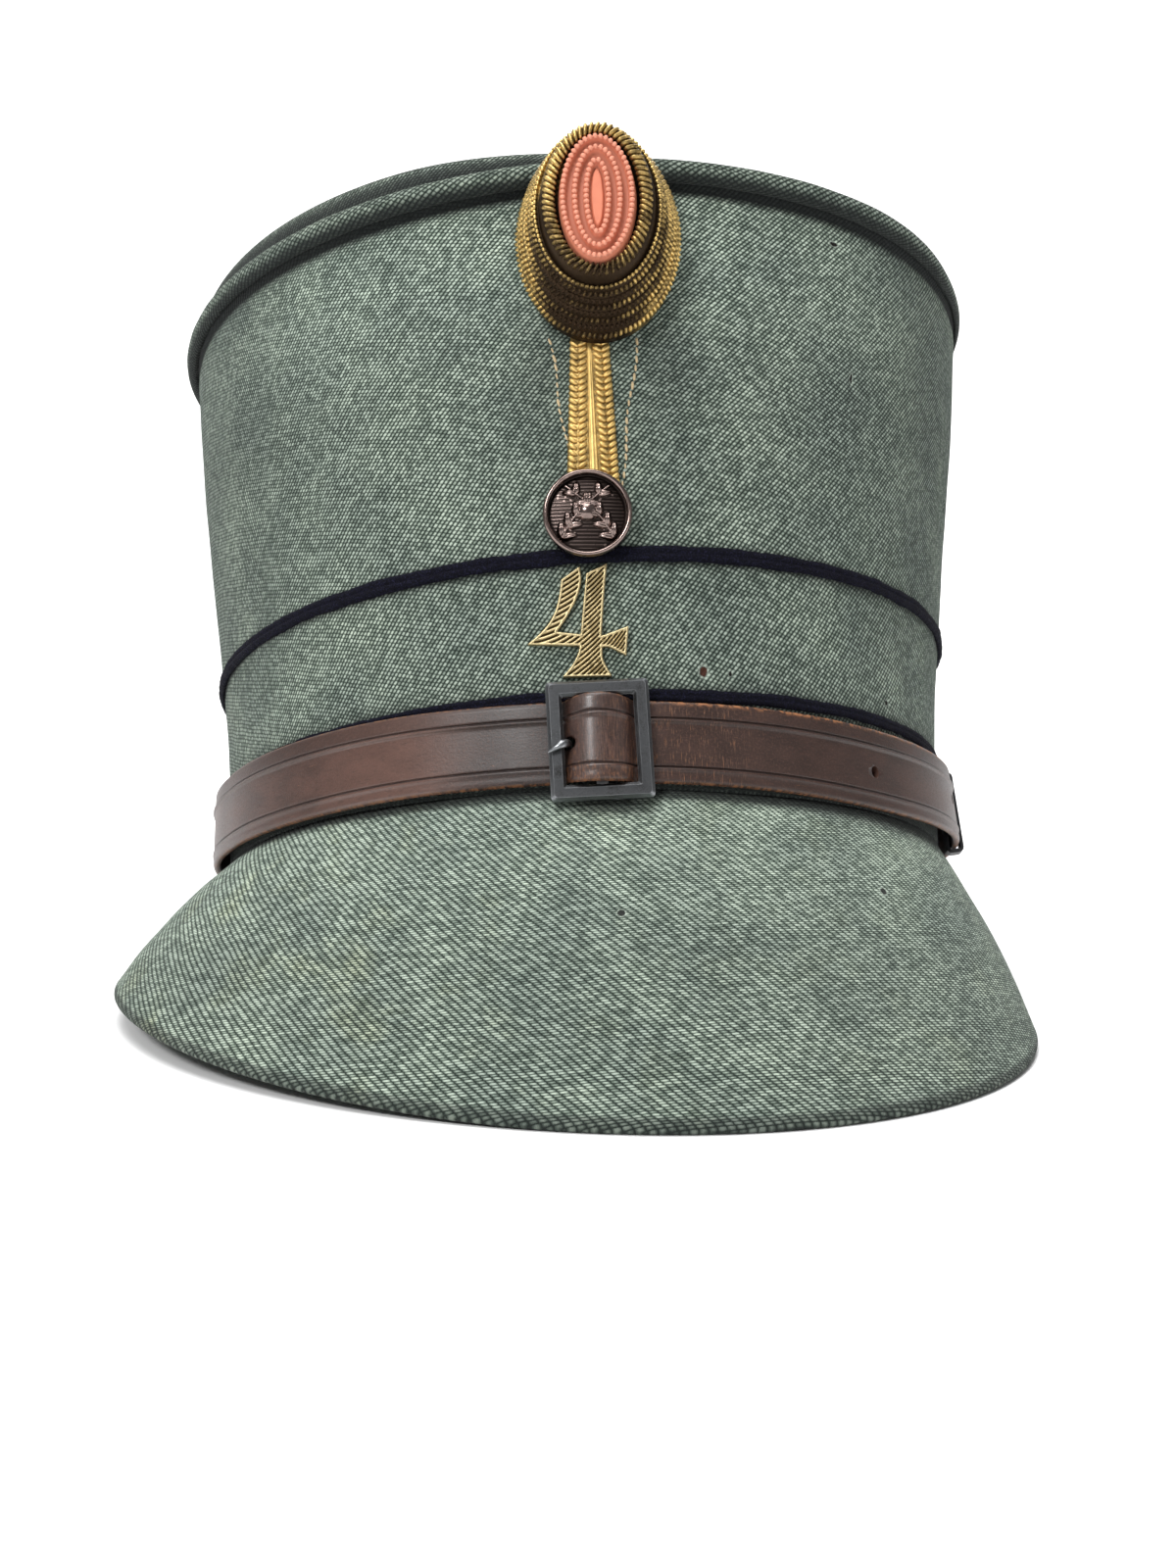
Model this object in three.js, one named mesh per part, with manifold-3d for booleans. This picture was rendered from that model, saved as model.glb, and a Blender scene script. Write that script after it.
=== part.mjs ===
// A cloth kepi: a tall flaring oval crown with a steep front peak, navy pipings, a leather
// strap with a buckle, a regimental numeral, a button, a gilt loop and an oval cockade.
// Millimetres, +Z up, the front looks along -Y. It stands as it would by itself, on the
// edge of the peak and on the rear of the crown's lower rim.

import * as THREE from 'three';
import { mergeVertices } from 'three/addons/utils/BufferGeometryUtils.js';
import Module from 'manifold-3d';

const wasm = await Module();
wasm.setup();

// Clearances
const gap = 0.3; // between neighbouring pieces

// Crown
const headHalfWidth = 87.7;
const headHalfLength = 102;
const topHalfWidth = 99.6;
const topHalfLength = 113;
const crownHeight = 138;
const crownWall = 2.5;
const topShift = 1.6; // the slumped top stands this far to +X of the rim
const topLean = 0.055; // rise of the top rim for each millimetre towards +X
const topTip = 0.092; // rise of the top rim for each millimetre towards the rear
const topPanelThickness = 2.4;
const topSag = 3.2; // the rim hangs this much lower on its +X side
const topRollHeight = 11.6; // top edge roll above the upper rim of the wall, where it is highest
const topRollDepth = 1.2; // dish of the top panel inside its roll
const weltThickness = 3.4;
const weltHeight = 4.8;
const weltRise = 0.4; // middle of the welt above the upper rim of the wall

// Pipings
const upperPipingRise = 48.4;
const upperPipingThickness = 1.4;
const upperPipingHeight = 3;
const lowerPipingRise = 20.3;
const lowerPipingThickness = 1;
const lowerPipingHeight = 2.4;

// Peak
const peakLength = 79; // along the slope, at the middle of the front
const peakThickness = 3;
const peakSlopeFront = 59; // degrees below the plane of the lower rim
const peakSlopeRight = 46.5; // degrees, at the end towards -X
const peakSlopeLeft = 68; // degrees, at the end towards +X
const peakCamber = 1.3;
const peakEndTurn = 84; // degrees round the oval from the front
const peakCornerRight = 12;
const peakCornerLeft = 19;
const peakLiftRight = 4.8; // the peak's -X side stands this far off the ground
const restLean = 2.8; // degrees that the kepi leans to -X where it stands

// Chin strap
const strapWidth = 16.8;
const strapThickness = 1.8;
const strapRise = 1.2; // lower edge above the rim
const strapCloseness = 0.7; // gap under the strap beside the buckle
const strapLift = 2; // the strap rides up this much at its +X side
const strapStandOff = 2.9; // widest gap under the strap, at its +X side
const strapTilt = 5; // degrees that the strap leans out there
const strapHoleDiameter = 2.6;

// Buckle
const buckleWidth = 20.4;
const buckleHeight = 24;
const buckleBar = 2.7;
const buckleThickness = 2;
const buckleMiddleBar = 2.4;
const buckleMiddleBarThickness = 1.2;
const buckleShift = 1;
const buckleTurn = 2.5; // degrees
const prongThickness = 1.6;
const prongHoleDiameter = 2.8;

// Strap keeper
const keeperLength = 4;
const keeperThickness = 0.6;
const keeperTurn = 84; // degrees round the oval from the front

// Numeral
const numeralWidth = 20.4;
const numeralHeight = 23.2;
const numeralThickness = 1.2;
const numeralShift = -2.6;
const numeralRise = 35;

// Button
const buttonDiameter = 18;
const buttonHeight = 4.6;
const buttonShift = -0.2;
const buttonRise = 56.2;

// Gilt loop
const loopTopWidth = 8;
const loopBottomWidth = 11.4;
const loopThickness = 1.5;
const loopTuckThickness = 1.1;
const loopBottomRise = 55;
const loopShift = 1.2;

// Cockade
const cockadeWidth = 31.4;
const cockadeHeight = 46.8;
const cockadeDepth = 14;
const cockadeFieldWidth = 14.8;
const cockadeFieldHeight = 31.6;
const cockadeFieldDepth = 2.2;
const cockadeShift = 3.4;
const cockadeDrop = 19.3; // its middle below the upper rim of the wall
const cockadeTurnUp = 3; // the raised field sits this much above the middle of the base
const cockadeTurnAside = 0.8; // its face leans towards the right side of the kepi by this much
const cockadeTuck = 4.5; // length of the loop hidden under the cockade

// Facets
const crownFacets = 64;
const ovalFacets = 36;
const roundFacets = 28;
const peakFacets = 40;

const degrees = Math.PI / 180;
const cockadeRise = crownHeight - cockadeDrop;

// Sections of the crown, by share of its height: how much of the flare, the sideways shift
// and lean and the forward tip of the top they have.
const crownSections = [
  { height: 0, flare: 0, lean: 0, tip: 0 },
  { height: 0.15, flare: 0.04, lean: 0.45, tip: 0.01 },
  { height: 0.26, flare: 0.12, lean: 0.6, tip: 0.02 },
  { height: 0.37, flare: 0.26, lean: 0.7, tip: 0.04 },
  { height: 0.52, flare: 0.46, lean: 0.8, tip: 0.15 },
  { height: 0.68, flare: 0.66, lean: 0.88, tip: 0.4 },
  { height: 0.85, flare: 0.86, lean: 0.95, tip: 0.72 },
  { height: 1, flare: 1, lean: 1, tip: 1 },
  { height: 1.1, flare: 1.08, lean: 1, tip: 1.1 },
];

// Top panel from its middle to its edge, by share of the way out: height of the upper face
// as a share of the roll's height, and of the dish inside it.
const topSections = [
  { reach: 0, roll: 1, dish: 1 },
  { reach: 0.5, roll: 1, dish: 1 },
  { reach: 0.8, roll: 1, dish: 0.85 },
  { reach: 0.9, roll: 1, dish: 0.35 },
  { reach: 0.955, roll: 1, dish: 0 },
  { reach: 0.985, roll: 0.8, dish: 0 },
  { reach: 0.997, roll: 0.4, dish: 0 },
];

// Rim of the top by degrees from the front: its sag, the height of the top edge roll and the
// thickness of the welt, as shares of the largest.
const rimStations = [
  { turn: -180, sag: 0, roll: 0.6, welt: 1 },
  { turn: -110, sag: 0, roll: 0.8, welt: 0.75 },
  { turn: -60, sag: 0, roll: 0.98, welt: 0.7 },
  { turn: -25, sag: 0, roll: 0.95, welt: 1 },
  { turn: -10, sag: 0, roll: 0.8, welt: 1 },
  { turn: 5, sag: 0, roll: 0.56, welt: 1 },
  { turn: 25, sag: 0.4, roll: 0.42, welt: 1 },
  { turn: 45, sag: 0.85, roll: 0.32, welt: 0.9 },
  { turn: 65, sag: 1.35, roll: 0.26, welt: 0.4 },
  { turn: 95, sag: 1.1, roll: 0.3, welt: 0.35 },
  { turn: 130, sag: 0.4, roll: 0.5, welt: 0.8 },
  { turn: 180, sag: 0, roll: 0.6, welt: 1 },
];

// Strap round the crown, by degrees from the front: how far it stands off, leans out and rides
// up, as shares of the largest, and whether it passes over the lower piping.
const strapStations = [
  { turn: -180, standOff: 0, tilt: 0, lift: 0, overPiping: 1 },
  { turn: -110, standOff: 0, tilt: 0, lift: 0, overPiping: 1 },
  { turn: -75, standOff: 0.7, tilt: 0.2, lift: 0, overPiping: 1 },
  { turn: -45, standOff: 0, tilt: 0, lift: 0, overPiping: 1 },
  { turn: -24, standOff: 0, tilt: 0, lift: 0, overPiping: 1 },
  { turn: -13, standOff: 0, tilt: 0, lift: 0, overPiping: 0 },
  { turn: 16, standOff: 0, tilt: 0, lift: 0, overPiping: 0 },
  { turn: 45, standOff: 0.3, tilt: 0.1, lift: 0, overPiping: 0 },
  { turn: 62, standOff: 0.7, tilt: 0.6, lift: 0.3, overPiping: 1 },
  { turn: 80, standOff: 1, tilt: 1, lift: 1, overPiping: 1 },
  { turn: 94, standOff: 1, tilt: 0.8, lift: 1, overPiping: 1 },
  { turn: 115, standOff: 0.7, tilt: 0.2, lift: 0.5, overPiping: 1 },
  { turn: 145, standOff: 0.2, tilt: 0, lift: 0, overPiping: 1 },
  { turn: 180, standOff: 0, tilt: 0, lift: 0, overPiping: 1 },
];

// Punched holes of the strap: degrees from the front, share of the width above its edge.
const strapHoles = [
  { turn: 42, across: 0.45 },
  { turn: 71, across: 0.52 },
];

// Button from the middle of its back round its rim to its crown: share of the radius, share
// of the height.
const buttonSteps = [
  { reach: 0, height: 0 },
  { reach: 0.9, height: 0 },
  { reach: 1, height: 0.2 },
  { reach: 0.99, height: 0.41 },
  { reach: 0.87, height: 0.5 },
  { reach: 0.78, height: 0.41 },
  { reach: 0.55, height: 0.85 },
  { reach: 0, height: 1 },
];

// Cockade from the edge of its field out to its rim: share of the way out, share of the depth.
const cockadeSteps = [
  { reach: 0.02, height: 0.93 },
  { reach: 0.13, height: 1 },
  { reach: 0.26, height: 0.92 },
  { reach: 0.33, height: 0.78 },
  { reach: 0.42, height: 0.8 },
  { reach: 0.5, height: 0.67 },
  { reach: 0.58, height: 0.65 },
  { reach: 0.66, height: 0.51 },
  { reach: 0.75, height: 0.48 },
  { reach: 0.83, height: 0.33 },
  { reach: 0.92, height: 0.28 },
  { reach: 1, height: 0.12 },
];

// Field of the cockade from its middle out: share of its half size, share of its thickness.
const fieldRidges = [
  { reach: 0.2, height: 0.8 },
  { reach: 0.32, height: 1 },
  { reach: 0.44, height: 0.72 },
  { reach: 0.56, height: 0.92 },
  { reach: 0.68, height: 0.62 },
  { reach: 0.8, height: 0.82 },
  { reach: 0.96, height: 0.4 },
];

// Outline of the numeral, clockwise from the head of its slanting stroke: shares of its width
// from the left and of its height from the foot.
const numeralOutline = [
  { across: 0.343, up: 0.861 },
  { across: 0.53, up: 0.979 },
  { across: 0.54, up: 0.843 },
  { across: 0.49, up: 0.687 },
  { across: 0.394, up: 0.53 },
  { across: 0.293, up: 0.4 },
  { across: 0.525, up: 0.374 },
  { across: 0.55, up: 0.583 },
  { across: 0.57, up: 0.757 },
  { across: 0.59, up: 0.913 },
  { across: 0.798, up: 1 },
  { across: 0.768, up: 0.757 },
  { across: 0.731, up: 0.357 },
  { across: 1, up: 0.44 },
  { across: 0.97, up: 0.179 },
  { across: 0.818, up: 0.252 },
  { across: 0.737, up: 0.261 },
  { across: 0.745, up: 0.15 },
  { across: 0.83, up: 0 },
  { across: 0.34, up: 0 },
  { across: 0.434, up: 0.1 },
  { across: 0.495, up: 0.2 },
  { across: 0.515, up: 0.273 },
  { across: 0, up: 0.29 },
  { across: 0.152, up: 0.409 },
  { across: 0.253, up: 0.53 },
  { across: 0.313, up: 0.687 },
];

// Materials
function finish(colour, roughness, metalness) {
  return new THREE.MeshStandardMaterial({ color: colour, roughness, metalness });
}
const greenCloth = finish(0x5a6b62, 0.95, 0);
const navyCord = finish(0x1c2036, 0.9, 0);
const brownLeather = finish(0x4a332c, 0.5, 0);
const darkSteel = finish(0x3c4146, 0.45, 0.8);
const blackMetal = finish(0x17171a, 0.4, 0.7);
const brass = finish(0x9c8a55, 0.45, 0.85);
const darkBronze = finish(0x33261f, 0.35, 0.8);
const giltWire = finish(0xb0893a, 0.5, 0.7);
const orangeEnamel = finish(0xe0705a, 0.5, 0);

// Value of one column of a table at a place between its rows, on a smooth curve.
function along(rows, key, column, at) {
  let row = 0;
  while (row < rows.length - 2 && at > rows[row + 1][key]) row += 1;
  const from = rows[row];
  const to = rows[row + 1];
  const before = rows[Math.max(row - 1, 0)];
  const after = rows[Math.min(row + 2, rows.length - 1)];
  const span = to[key] - from[key];
  const slopeFrom = ((to[column] - before[column]) / (to[key] - before[key])) * span;
  const slopeTo = ((after[column] - from[column]) / (after[key] - from[key])) * span;
  const share = (at - from[key]) / span;
  const square = share * share;
  const cube = square * share;
  return (2 * cube - 3 * square + 1) * from[column] + (cube - 2 * square + share) * slopeFrom
    + (3 * square - 2 * cube) * to[column] + (cube - square) * slopeTo;
}

// Closed solid through a row of sections of equal size. Each section runs out along one face
// and back along the other, so that its ends can be closed by a strip.
function skin(sections, isRing) {
  const size = sections[0].length;
  const corners = sections.flat();
  const triangles = [];
  const addTriangle = (a, b, c) => {
    const points = [corners[a], corners[b], corners[c]];
    const flat = points.some((point, i) => point.distanceTo(points[(i + 1) % 3]) < 1e-6);
    if (!flat) triangles.push(a, b, c);
  };
  const addQuad = (a, b, c, d) => {
    addTriangle(a, b, c);
    addTriangle(a, c, d);
  };
  const spans = isRing ? sections.length : sections.length - 1;
  for (let i = 0; i < spans; i += 1) {
    const near = i * size;
    const far = ((i + 1) % sections.length) * size;
    for (let j = 0; j < size; j += 1) {
      const next = (j + 1) % size;
      addQuad(near + j, near + next, far + next, far + j);
    }
  }
  if (!isRing) {
    const last = (sections.length - 1) * size;
    for (let j = 0; j < size / 2 - 1; j += 1) {
      addQuad(j, size - 1 - j, size - 2 - j, j + 1);
      addQuad(last + j, last + j + 1, last + size - 2 - j, last + size - 1 - j);
    }
  }
  const geometry = new THREE.BufferGeometry();
  geometry.setAttribute('position', new THREE.Float32BufferAttribute(corners.flatMap((p) => p.toArray()), 3));
  geometry.setIndex(triangles);
  return facingOut(mergeVertices(geometry, 1e-5));
}

// The same geometry with its faces turned outwards.
function facingOut(geometry) {
  const points = geometry.getAttribute('position');
  const index = geometry.getIndex().array;
  const corner = (k) => new THREE.Vector3().fromBufferAttribute(points, index[k]);
  let volume = 0;
  for (let k = 0; k < index.length; k += 3) {
    volume += corner(k).dot(corner(k + 1).cross(corner(k + 2)));
  }
  if (volume < 0) {
    for (let k = 0; k < index.length; k += 3) {
      [index[k + 1], index[k + 2]] = [index[k + 2], index[k + 1]];
    }
  }
  return geometry;
}

// Boolean cuts
function toSolid(geometry) {
  const bare = geometry.clone();
  bare.deleteAttribute('normal');
  bare.deleteAttribute('uv');
  const merged = mergeVertices(bare, 1e-5);
  return new wasm.Manifold(new wasm.Mesh({
    numProp: 3,
    vertProperties: new Float32Array(merged.getAttribute('position').array),
    triVerts: new Uint32Array(merged.getIndex().array),
  }));
}

function toGeometry(solid) {
  const mesh = solid.getMesh();
  const geometry = new THREE.BufferGeometry();
  geometry.setAttribute('position', new THREE.Float32BufferAttribute(mesh.vertProperties, 3));
  geometry.setIndex(Array.from(mesh.triVerts));
  return geometry;
}

// Point of the crown's outer face: degrees round from the front, height above the rim, distance out.
function crownPoint(turn, rise, out = 0) {
  const share = rise / crownHeight;
  const section = (column) => along(crownSections, 'height', column, share);
  const halfWidth = headHalfWidth + (topHalfWidth - headHalfWidth) * section('flare');
  const halfLength = headHalfLength + (topHalfLength - headHalfLength) * section('flare');
  const normal = crownNormal(turn);
  const x = topShift * share + halfWidth * Math.sin(turn * degrees);
  const y = -halfLength * Math.cos(turn * degrees);
  const sag = topSag * along(rimStations, 'turn', 'sag', turn) * section('tip');
  const z = rise + topLean * section('lean') * x + topTip * section('tip') * y - sag;
  return new THREE.Vector3(x + normal.x * out, y + normal.y * out, z);
}

// Level direction straight out of the crown.
function crownNormal(turn) {
  const sine = Math.sin(turn * degrees);
  const cosine = Math.cos(turn * degrees);
  return new THREE.Vector3(headHalfLength * sine, -headHalfWidth * cosine, 0).normalize();
}

// Turn of the front of the crown at a distance to +X of the middle.
function turnAt(across, rise) {
  const share = rise / crownHeight;
  const flare = along(crownSections, 'height', 'flare', share);
  const halfWidth = headHalfWidth + (topHalfWidth - headHalfWidth) * flare;
  return Math.asin((across - topShift * share) / halfWidth) / degrees;
}

// Place of a flat piece on the front of the crown, its own Z pointing out of the cloth.
function placeOnFront(mesh, across, rise, out, roll = 0) {
  const step = 4;
  const turn = turnAt(across, rise);
  const normal = crownNormal(turn);
  const upright = crownPoint(turn, rise + step).sub(crownPoint(turn, rise - step)).normalize();
  const side = new THREE.Vector3().crossVectors(upright, normal).normalize();
  const outward = new THREE.Vector3().crossVectors(side, upright);
  mesh.setRotationFromMatrix(new THREE.Matrix4().makeBasis(side, upright, outward));
  mesh.rotateZ(roll * degrees);
  mesh.position.copy(crownPoint(turn, rise, out));
  return mesh;
}

function turns(count) {
  return Array.from({ length: count }, (_, i) => -180 + ((i + 0.5) * 360) / count);
}

function named(name, geometry, material) {
  const mesh = new THREE.Mesh(geometry, material);
  mesh.name = name;
  return mesh;
}

// Crown wall, open below and above.
function makeCrownWall() {
  const rises = crownSections.map((row) => row.height * crownHeight).filter((rise) => rise <= crownHeight);
  const sections = turns(crownFacets).map((turn) => [
    ...rises.map((rise) => crownPoint(turn, rise)),
    ...rises.toReversed().map((rise) => crownPoint(turn, rise, -crownWall)),
  ]);
  return named('crown_wall', skin(sections, true), greenCloth);
}

// Flat-lying top panel with a rolled edge, seated on the upper rim of the wall.
function makeCrownTop() {
  const middle = crownPoint(0, crownHeight).add(crownPoint(180, crownHeight)).multiplyScalar(0.5);
  const upperFace = (turn, row) => {
    const roll = topRollHeight * along(rimStations, 'turn', 'roll', turn);
    const level = (roll + topRollHeight * rimStations[0].roll) / 2;
    const towardsMiddle = roll + (level - roll) * row.dish;
    return Math.max(gap + topPanelThickness, towardsMiddle * row.roll - topRollDepth * row.dish);
  };
  const seamReach = 0.96; // outside this share the panel rests on the wall
  const lowerFace = (turn, row) => (row.reach > seamReach ? gap : upperFace(turn, row) - topPanelThickness);
  const place = (turn, row, height) => {
    const rim = crownPoint(turn, crownHeight);
    const point = new THREE.Vector3().lerpVectors(middle, rim, row.reach);
    point.z += height;
    return point;
  };
  const sections = turns(crownFacets).map((turn) => [
    ...topSections.map((row) => place(turn, row, upperFace(turn, row))),
    ...topSections.toReversed().map((row) => place(turn, row, lowerFace(turn, row))),
  ]);
  return named('crown_top', skin(sections, true), greenCloth);
}

// Round or oval cord sewn round the crown.
function makeCord(name, rise, thicknessAt, height, sides, material) {
  const sections = turns(crownFacets).map((turn) => Array.from({ length: sides }, (_, i) => {
    const angle = ((i + 0.5) * 2 * Math.PI) / sides;
    const thickness = thicknessAt(turn);
    const point = crownPoint(turn, rise, gap + (thickness / 2) * (1 + Math.cos(angle)));
    point.z += (Math.sin(angle) * height) / 2;
    return point;
  }));
  return named(name, skin(sections, true), material);
}

function weltThicknessAt(turn) {
  return weltThickness * along(rimStations, 'turn', 'welt', turn);
}

// Ground under the standing kepi, in the crown's own axes: height at a place.
// It touches the rear of the lower rim and the peak's edge at the middle of the front.
const ground = (() => {
  const sideways = -Math.tan(restLean * degrees);
  const drop = peakLength * Math.sin(peakSlopeFront * degrees) + gap;
  const reach = headHalfLength + gap + peakLength * Math.cos(peakSlopeFront * degrees);
  const side = sideways * headHalfWidth;
  const a = reach * reach - headHalfLength * headHalfLength;
  const b = drop * reach;
  const c = drop * drop - side * side;
  const pitch = (b - Math.sqrt(b * b - a * c)) / a;
  const base = -Math.hypot(side, pitch * headHalfLength);
  return { sideways, pitch, base, heightAt: (x, y) => base + sideways * x + pitch * y };
})();

// Peak: a steep collar round the front half of the rim, cut flat where it stands.
function makePeak() {
  const rows = 6;
  const liftedFrom = 0.7; // share of the -X half where the lift is full
  const turnsOfPeak = Array.from({ length: peakFacets + 1 }, (_, i) => {
    const share = (2 * i) / peakFacets - 1;
    return peakEndTurn * Math.sin((share * Math.PI) / 2);
  });
  const sections = turnsOfPeak.map((turn) => {
    const isRight = turn < 0;
    const side = isRight ? peakSlopeRight : peakSlopeLeft;
    const slope = (peakSlopeFront + (side - peakSlopeFront) * Math.sin(turn * degrees) ** 2) * degrees;
    const normal = crownNormal(turn);
    const down = normal.clone().multiplyScalar(Math.cos(slope)).setZ(-Math.sin(slope));
    const outward = normal.clone().multiplyScalar(Math.sin(slope)).setZ(Math.cos(slope));
    const root = crownPoint(turn, 0, gap);
    root.z = -gap;
    const liftShare = isRight ? THREE.MathUtils.smoothstep(-turn, 0, liftedFrom * peakEndTurn) : 0;
    const corner = isRight ? peakCornerRight : peakCornerLeft;
    const fromEnd = (peakEndTurn - Math.abs(turn)) * degrees * (headHalfWidth + peakLength / 2);
    const short = Math.max(corner - fromEnd, 0);
    const cornerCut = corner - Math.sqrt(corner * corner - short * short);
    const face = (depth) => {
      const start = root.clone().addScaledVector(outward, -depth);
      const height = start.z - ground.heightAt(start.x, start.y) - liftShare * peakLiftRight;
      const fall = -down.z + ground.sideways * down.x + ground.pitch * down.y;
      const length = height / fall - cornerCut;
      return Array.from({ length: rows + 1 }, (_, j) => {
        const share = j / rows;
        const camber = 4 * peakCamber * share * (1 - share);
        return start.clone().addScaledVector(down, length * share).addScaledVector(outward, camber);
      });
    };
    return [...face(0), ...face(peakThickness).toReversed()];
  });
  return named('peak', skin(sections, false), greenCloth);
}

// Distances of the strap's inner face from the crown where it runs through the buckle.
const strapOverPiping = gap + lowerPipingThickness + gap;
const buckleOut = strapCloseness + strapThickness + gap;
const strapOverBar = buckleOut + buckleMiddleBarThickness + 3 * gap;
const buckleRise = strapRise + strapWidth / 2;

// Point of the strap: degrees round, share of the width from its lower edge, share of the thickness.
function strapPoint(turn, across, depth) {
  const station = (column) => along(strapStations, 'turn', column, turn);
  const fromBuckle = Math.abs(crownPoint(turn, buckleRise).x - buckleShift);
  const humpTop = buckleMiddleBar / 2 + 2 * gap;
  const humpEnd = buckleWidth / 2 - buckleBar - gap;
  const hump = Math.abs(turn) < 90 ? 1 - THREE.MathUtils.smoothstep(fromBuckle, humpTop, humpEnd) : 0;
  const near = strapCloseness + (strapOverPiping - strapCloseness) * station('overPiping');
  const standOff = Math.max(station('standOff') * strapStandOff, near);
  const inner = standOff + (strapOverBar - standOff) * hump;
  const tilt = station('tilt') * strapTilt * degrees;
  const fromMiddle = (across - 0.5) * strapWidth;
  const thick = depth * strapThickness;
  const out = inner - fromMiddle * Math.sin(tilt) + thick * Math.cos(tilt);
  const point = crownPoint(turn, 0, out);
  point.z = buckleRise + strapLift * station('lift') + fromMiddle * Math.cos(tilt) + thick * Math.sin(tilt);
  return point;
}

// Chin strap: one closed loop of leather round the crown, over the buckle's middle bar.
function makeStrap() {
  const edge = strapThickness / strapWidth / 3;
  const profile = [
    { across: edge, depth: 0 },
    { across: 0, depth: 0.3 },
    { across: 0, depth: 0.7 },
    { across: edge, depth: 1 },
    { across: 1 - edge, depth: 1 },
    { across: 1, depth: 0.7 },
    { across: 1, depth: 0.3 },
    { across: 1 - edge, depth: 0 },
  ];
  const buckleTurns = 11; // degrees each side of the front with finer sections
  const fineSections = 15;
  const fineStep = 1.9;
  const farTurns = turns(crownFacets).filter((turn) => Math.abs(turn) > buckleTurns);
  const nearTurns = Array.from({ length: fineSections }, (_, i) => {
    const across = buckleShift + (i - (fineSections - 1) / 2) * fineStep;
    return turnAt(across, buckleRise);
  });
  const allTurns = [...farTurns, ...nearTurns].sort((a, b) => a - b);
  const sections = allTurns.map((turn) => profile.map((row) => strapPoint(turn, row.across, row.depth)));
  const punch = (turn, across, diameter) => {
    const inside = strapPoint(turn, across, -1);
    const outside = strapPoint(turn, across, 2);
    return toSolid(barBetween(inside, outside, diameter, diameter, 10));
  };
  let strap = toSolid(skin(sections, true));
  for (const hole of strapHoles) {
    strap = strap.subtract(punch(hole.turn, hole.across, strapHoleDiameter));
  }
  const prong = prongEnds();
  strap = strap.subtract(punch(prong.turn, prong.across, prongHoleDiameter));
  return named('chin_strap', toGeometry(strap), brownLeather);
}

// Round bar, tapered or straight, between two points.
function barBetween(from, to, startDiameter, endDiameter, sides) {
  const run = to.clone().sub(from);
  const bar = new THREE.CylinderGeometry(endDiameter / 2, startDiameter / 2, run.length(), sides);
  bar.translate(0, run.length() / 2, 0);
  bar.applyQuaternion(new THREE.Quaternion().setFromUnitVectors(new THREE.Vector3(0, 1, 0), run.normalize()));
  bar.translate(from.x, from.y, from.z);
  return bar;
}

function rectanglePath(width, height, radius, ShapeClass) {
  const path = new ShapeClass();
  const x = width / 2;
  const y = height / 2;
  path.moveTo(-x + radius, -y);
  path.lineTo(x - radius, -y);
  path.absarc(x - radius, -y + radius, radius, -Math.PI / 2, 0);
  path.lineTo(x, y - radius);
  path.absarc(x - radius, y - radius, radius, 0, Math.PI / 2);
  path.lineTo(-x + radius, y);
  path.absarc(-x + radius, y - radius, radius, Math.PI / 2, Math.PI);
  path.lineTo(-x, -y + radius);
  path.absarc(-x + radius, -y + radius, radius, Math.PI, 1.5 * Math.PI);
  return path;
}

// Buckle: a flat frame and a thinner middle bar in its plane.
function makeBuckle() {
  const bevel = buckleThickness / 5;
  const outline = rectanglePath(buckleWidth - 2 * bevel, buckleHeight - 2 * bevel, 0.8, THREE.Shape);
  const windowWidth = buckleWidth - 2 * buckleBar;
  const windowHeight = buckleHeight - 2 * buckleBar;
  outline.holes.push(rectanglePath(windowWidth + 2 * bevel, windowHeight + 2 * bevel, 0.5, THREE.Path));
  const frame = new THREE.ExtrudeGeometry(outline, {
    depth: buckleThickness - 2 * bevel,
    bevelThickness: bevel,
    bevelSize: bevel,
    bevelSegments: 1,
    curveSegments: 3,
  });
  frame.translate(0, 0, bevel);
  const middleBar = new THREE.BoxGeometry(buckleMiddleBar, windowHeight + buckleBar, buckleMiddleBarThickness);
  middleBar.translate(0, 0, gap + buckleMiddleBarThickness / 2);
  const buckle = named('buckle_frame', toGeometry(toSolid(frame).add(toSolid(middleBar))), darkSteel);
  return placeOnFront(buckle, buckleShift, buckleRise, buckleOut, buckleTurn);
}

// The prong comes up through its hole in the strap and lies on the frame's -X bar.
function prongEnds() {
  const holeAcross = 0.46;
  const tipAcross = 0.33;
  const holeInset = 0.4;
  const tipInset = 0.8;
  const buckleEdge = buckleShift - buckleWidth / 2;
  const turn = turnAt(buckleEdge + buckleBar + prongHoleDiameter / 2 + holeInset, buckleRise);
  const tipTurn = turnAt(buckleEdge + tipInset, buckleRise);
  return { turn, across: holeAcross, tipTurn, tipRise: strapRise + strapWidth * tipAcross };
}

function makeProng() {
  const { turn, across, tipTurn, tipRise } = prongEnds();
  const bendHeight = 0.3;
  const tipHeight = 0.7;
  const tipTaper = 0.7;
  const clear = buckleOut + buckleThickness + gap + prongThickness / 2;
  const bend = strapPoint(turn, across, 1);
  const outward = crownNormal(turn);
  const over = clear - outward.dot(bend.clone().sub(crownPoint(turn, 0)));
  bend.addScaledVector(outward, over + bendHeight);
  const tail = strapPoint(turn, across, 0.3);
  const tip = crownPoint(tipTurn, 0, clear + tipHeight);
  tip.z = tipRise;
  const stem = toSolid(barBetween(tail, bend, prongThickness, prongThickness, 8));
  const point = toSolid(barBetween(bend, tip, prongThickness, prongThickness * tipTaper, 8));
  return named('buckle_prong', toGeometry(stem.add(point)), darkSteel);
}

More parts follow.
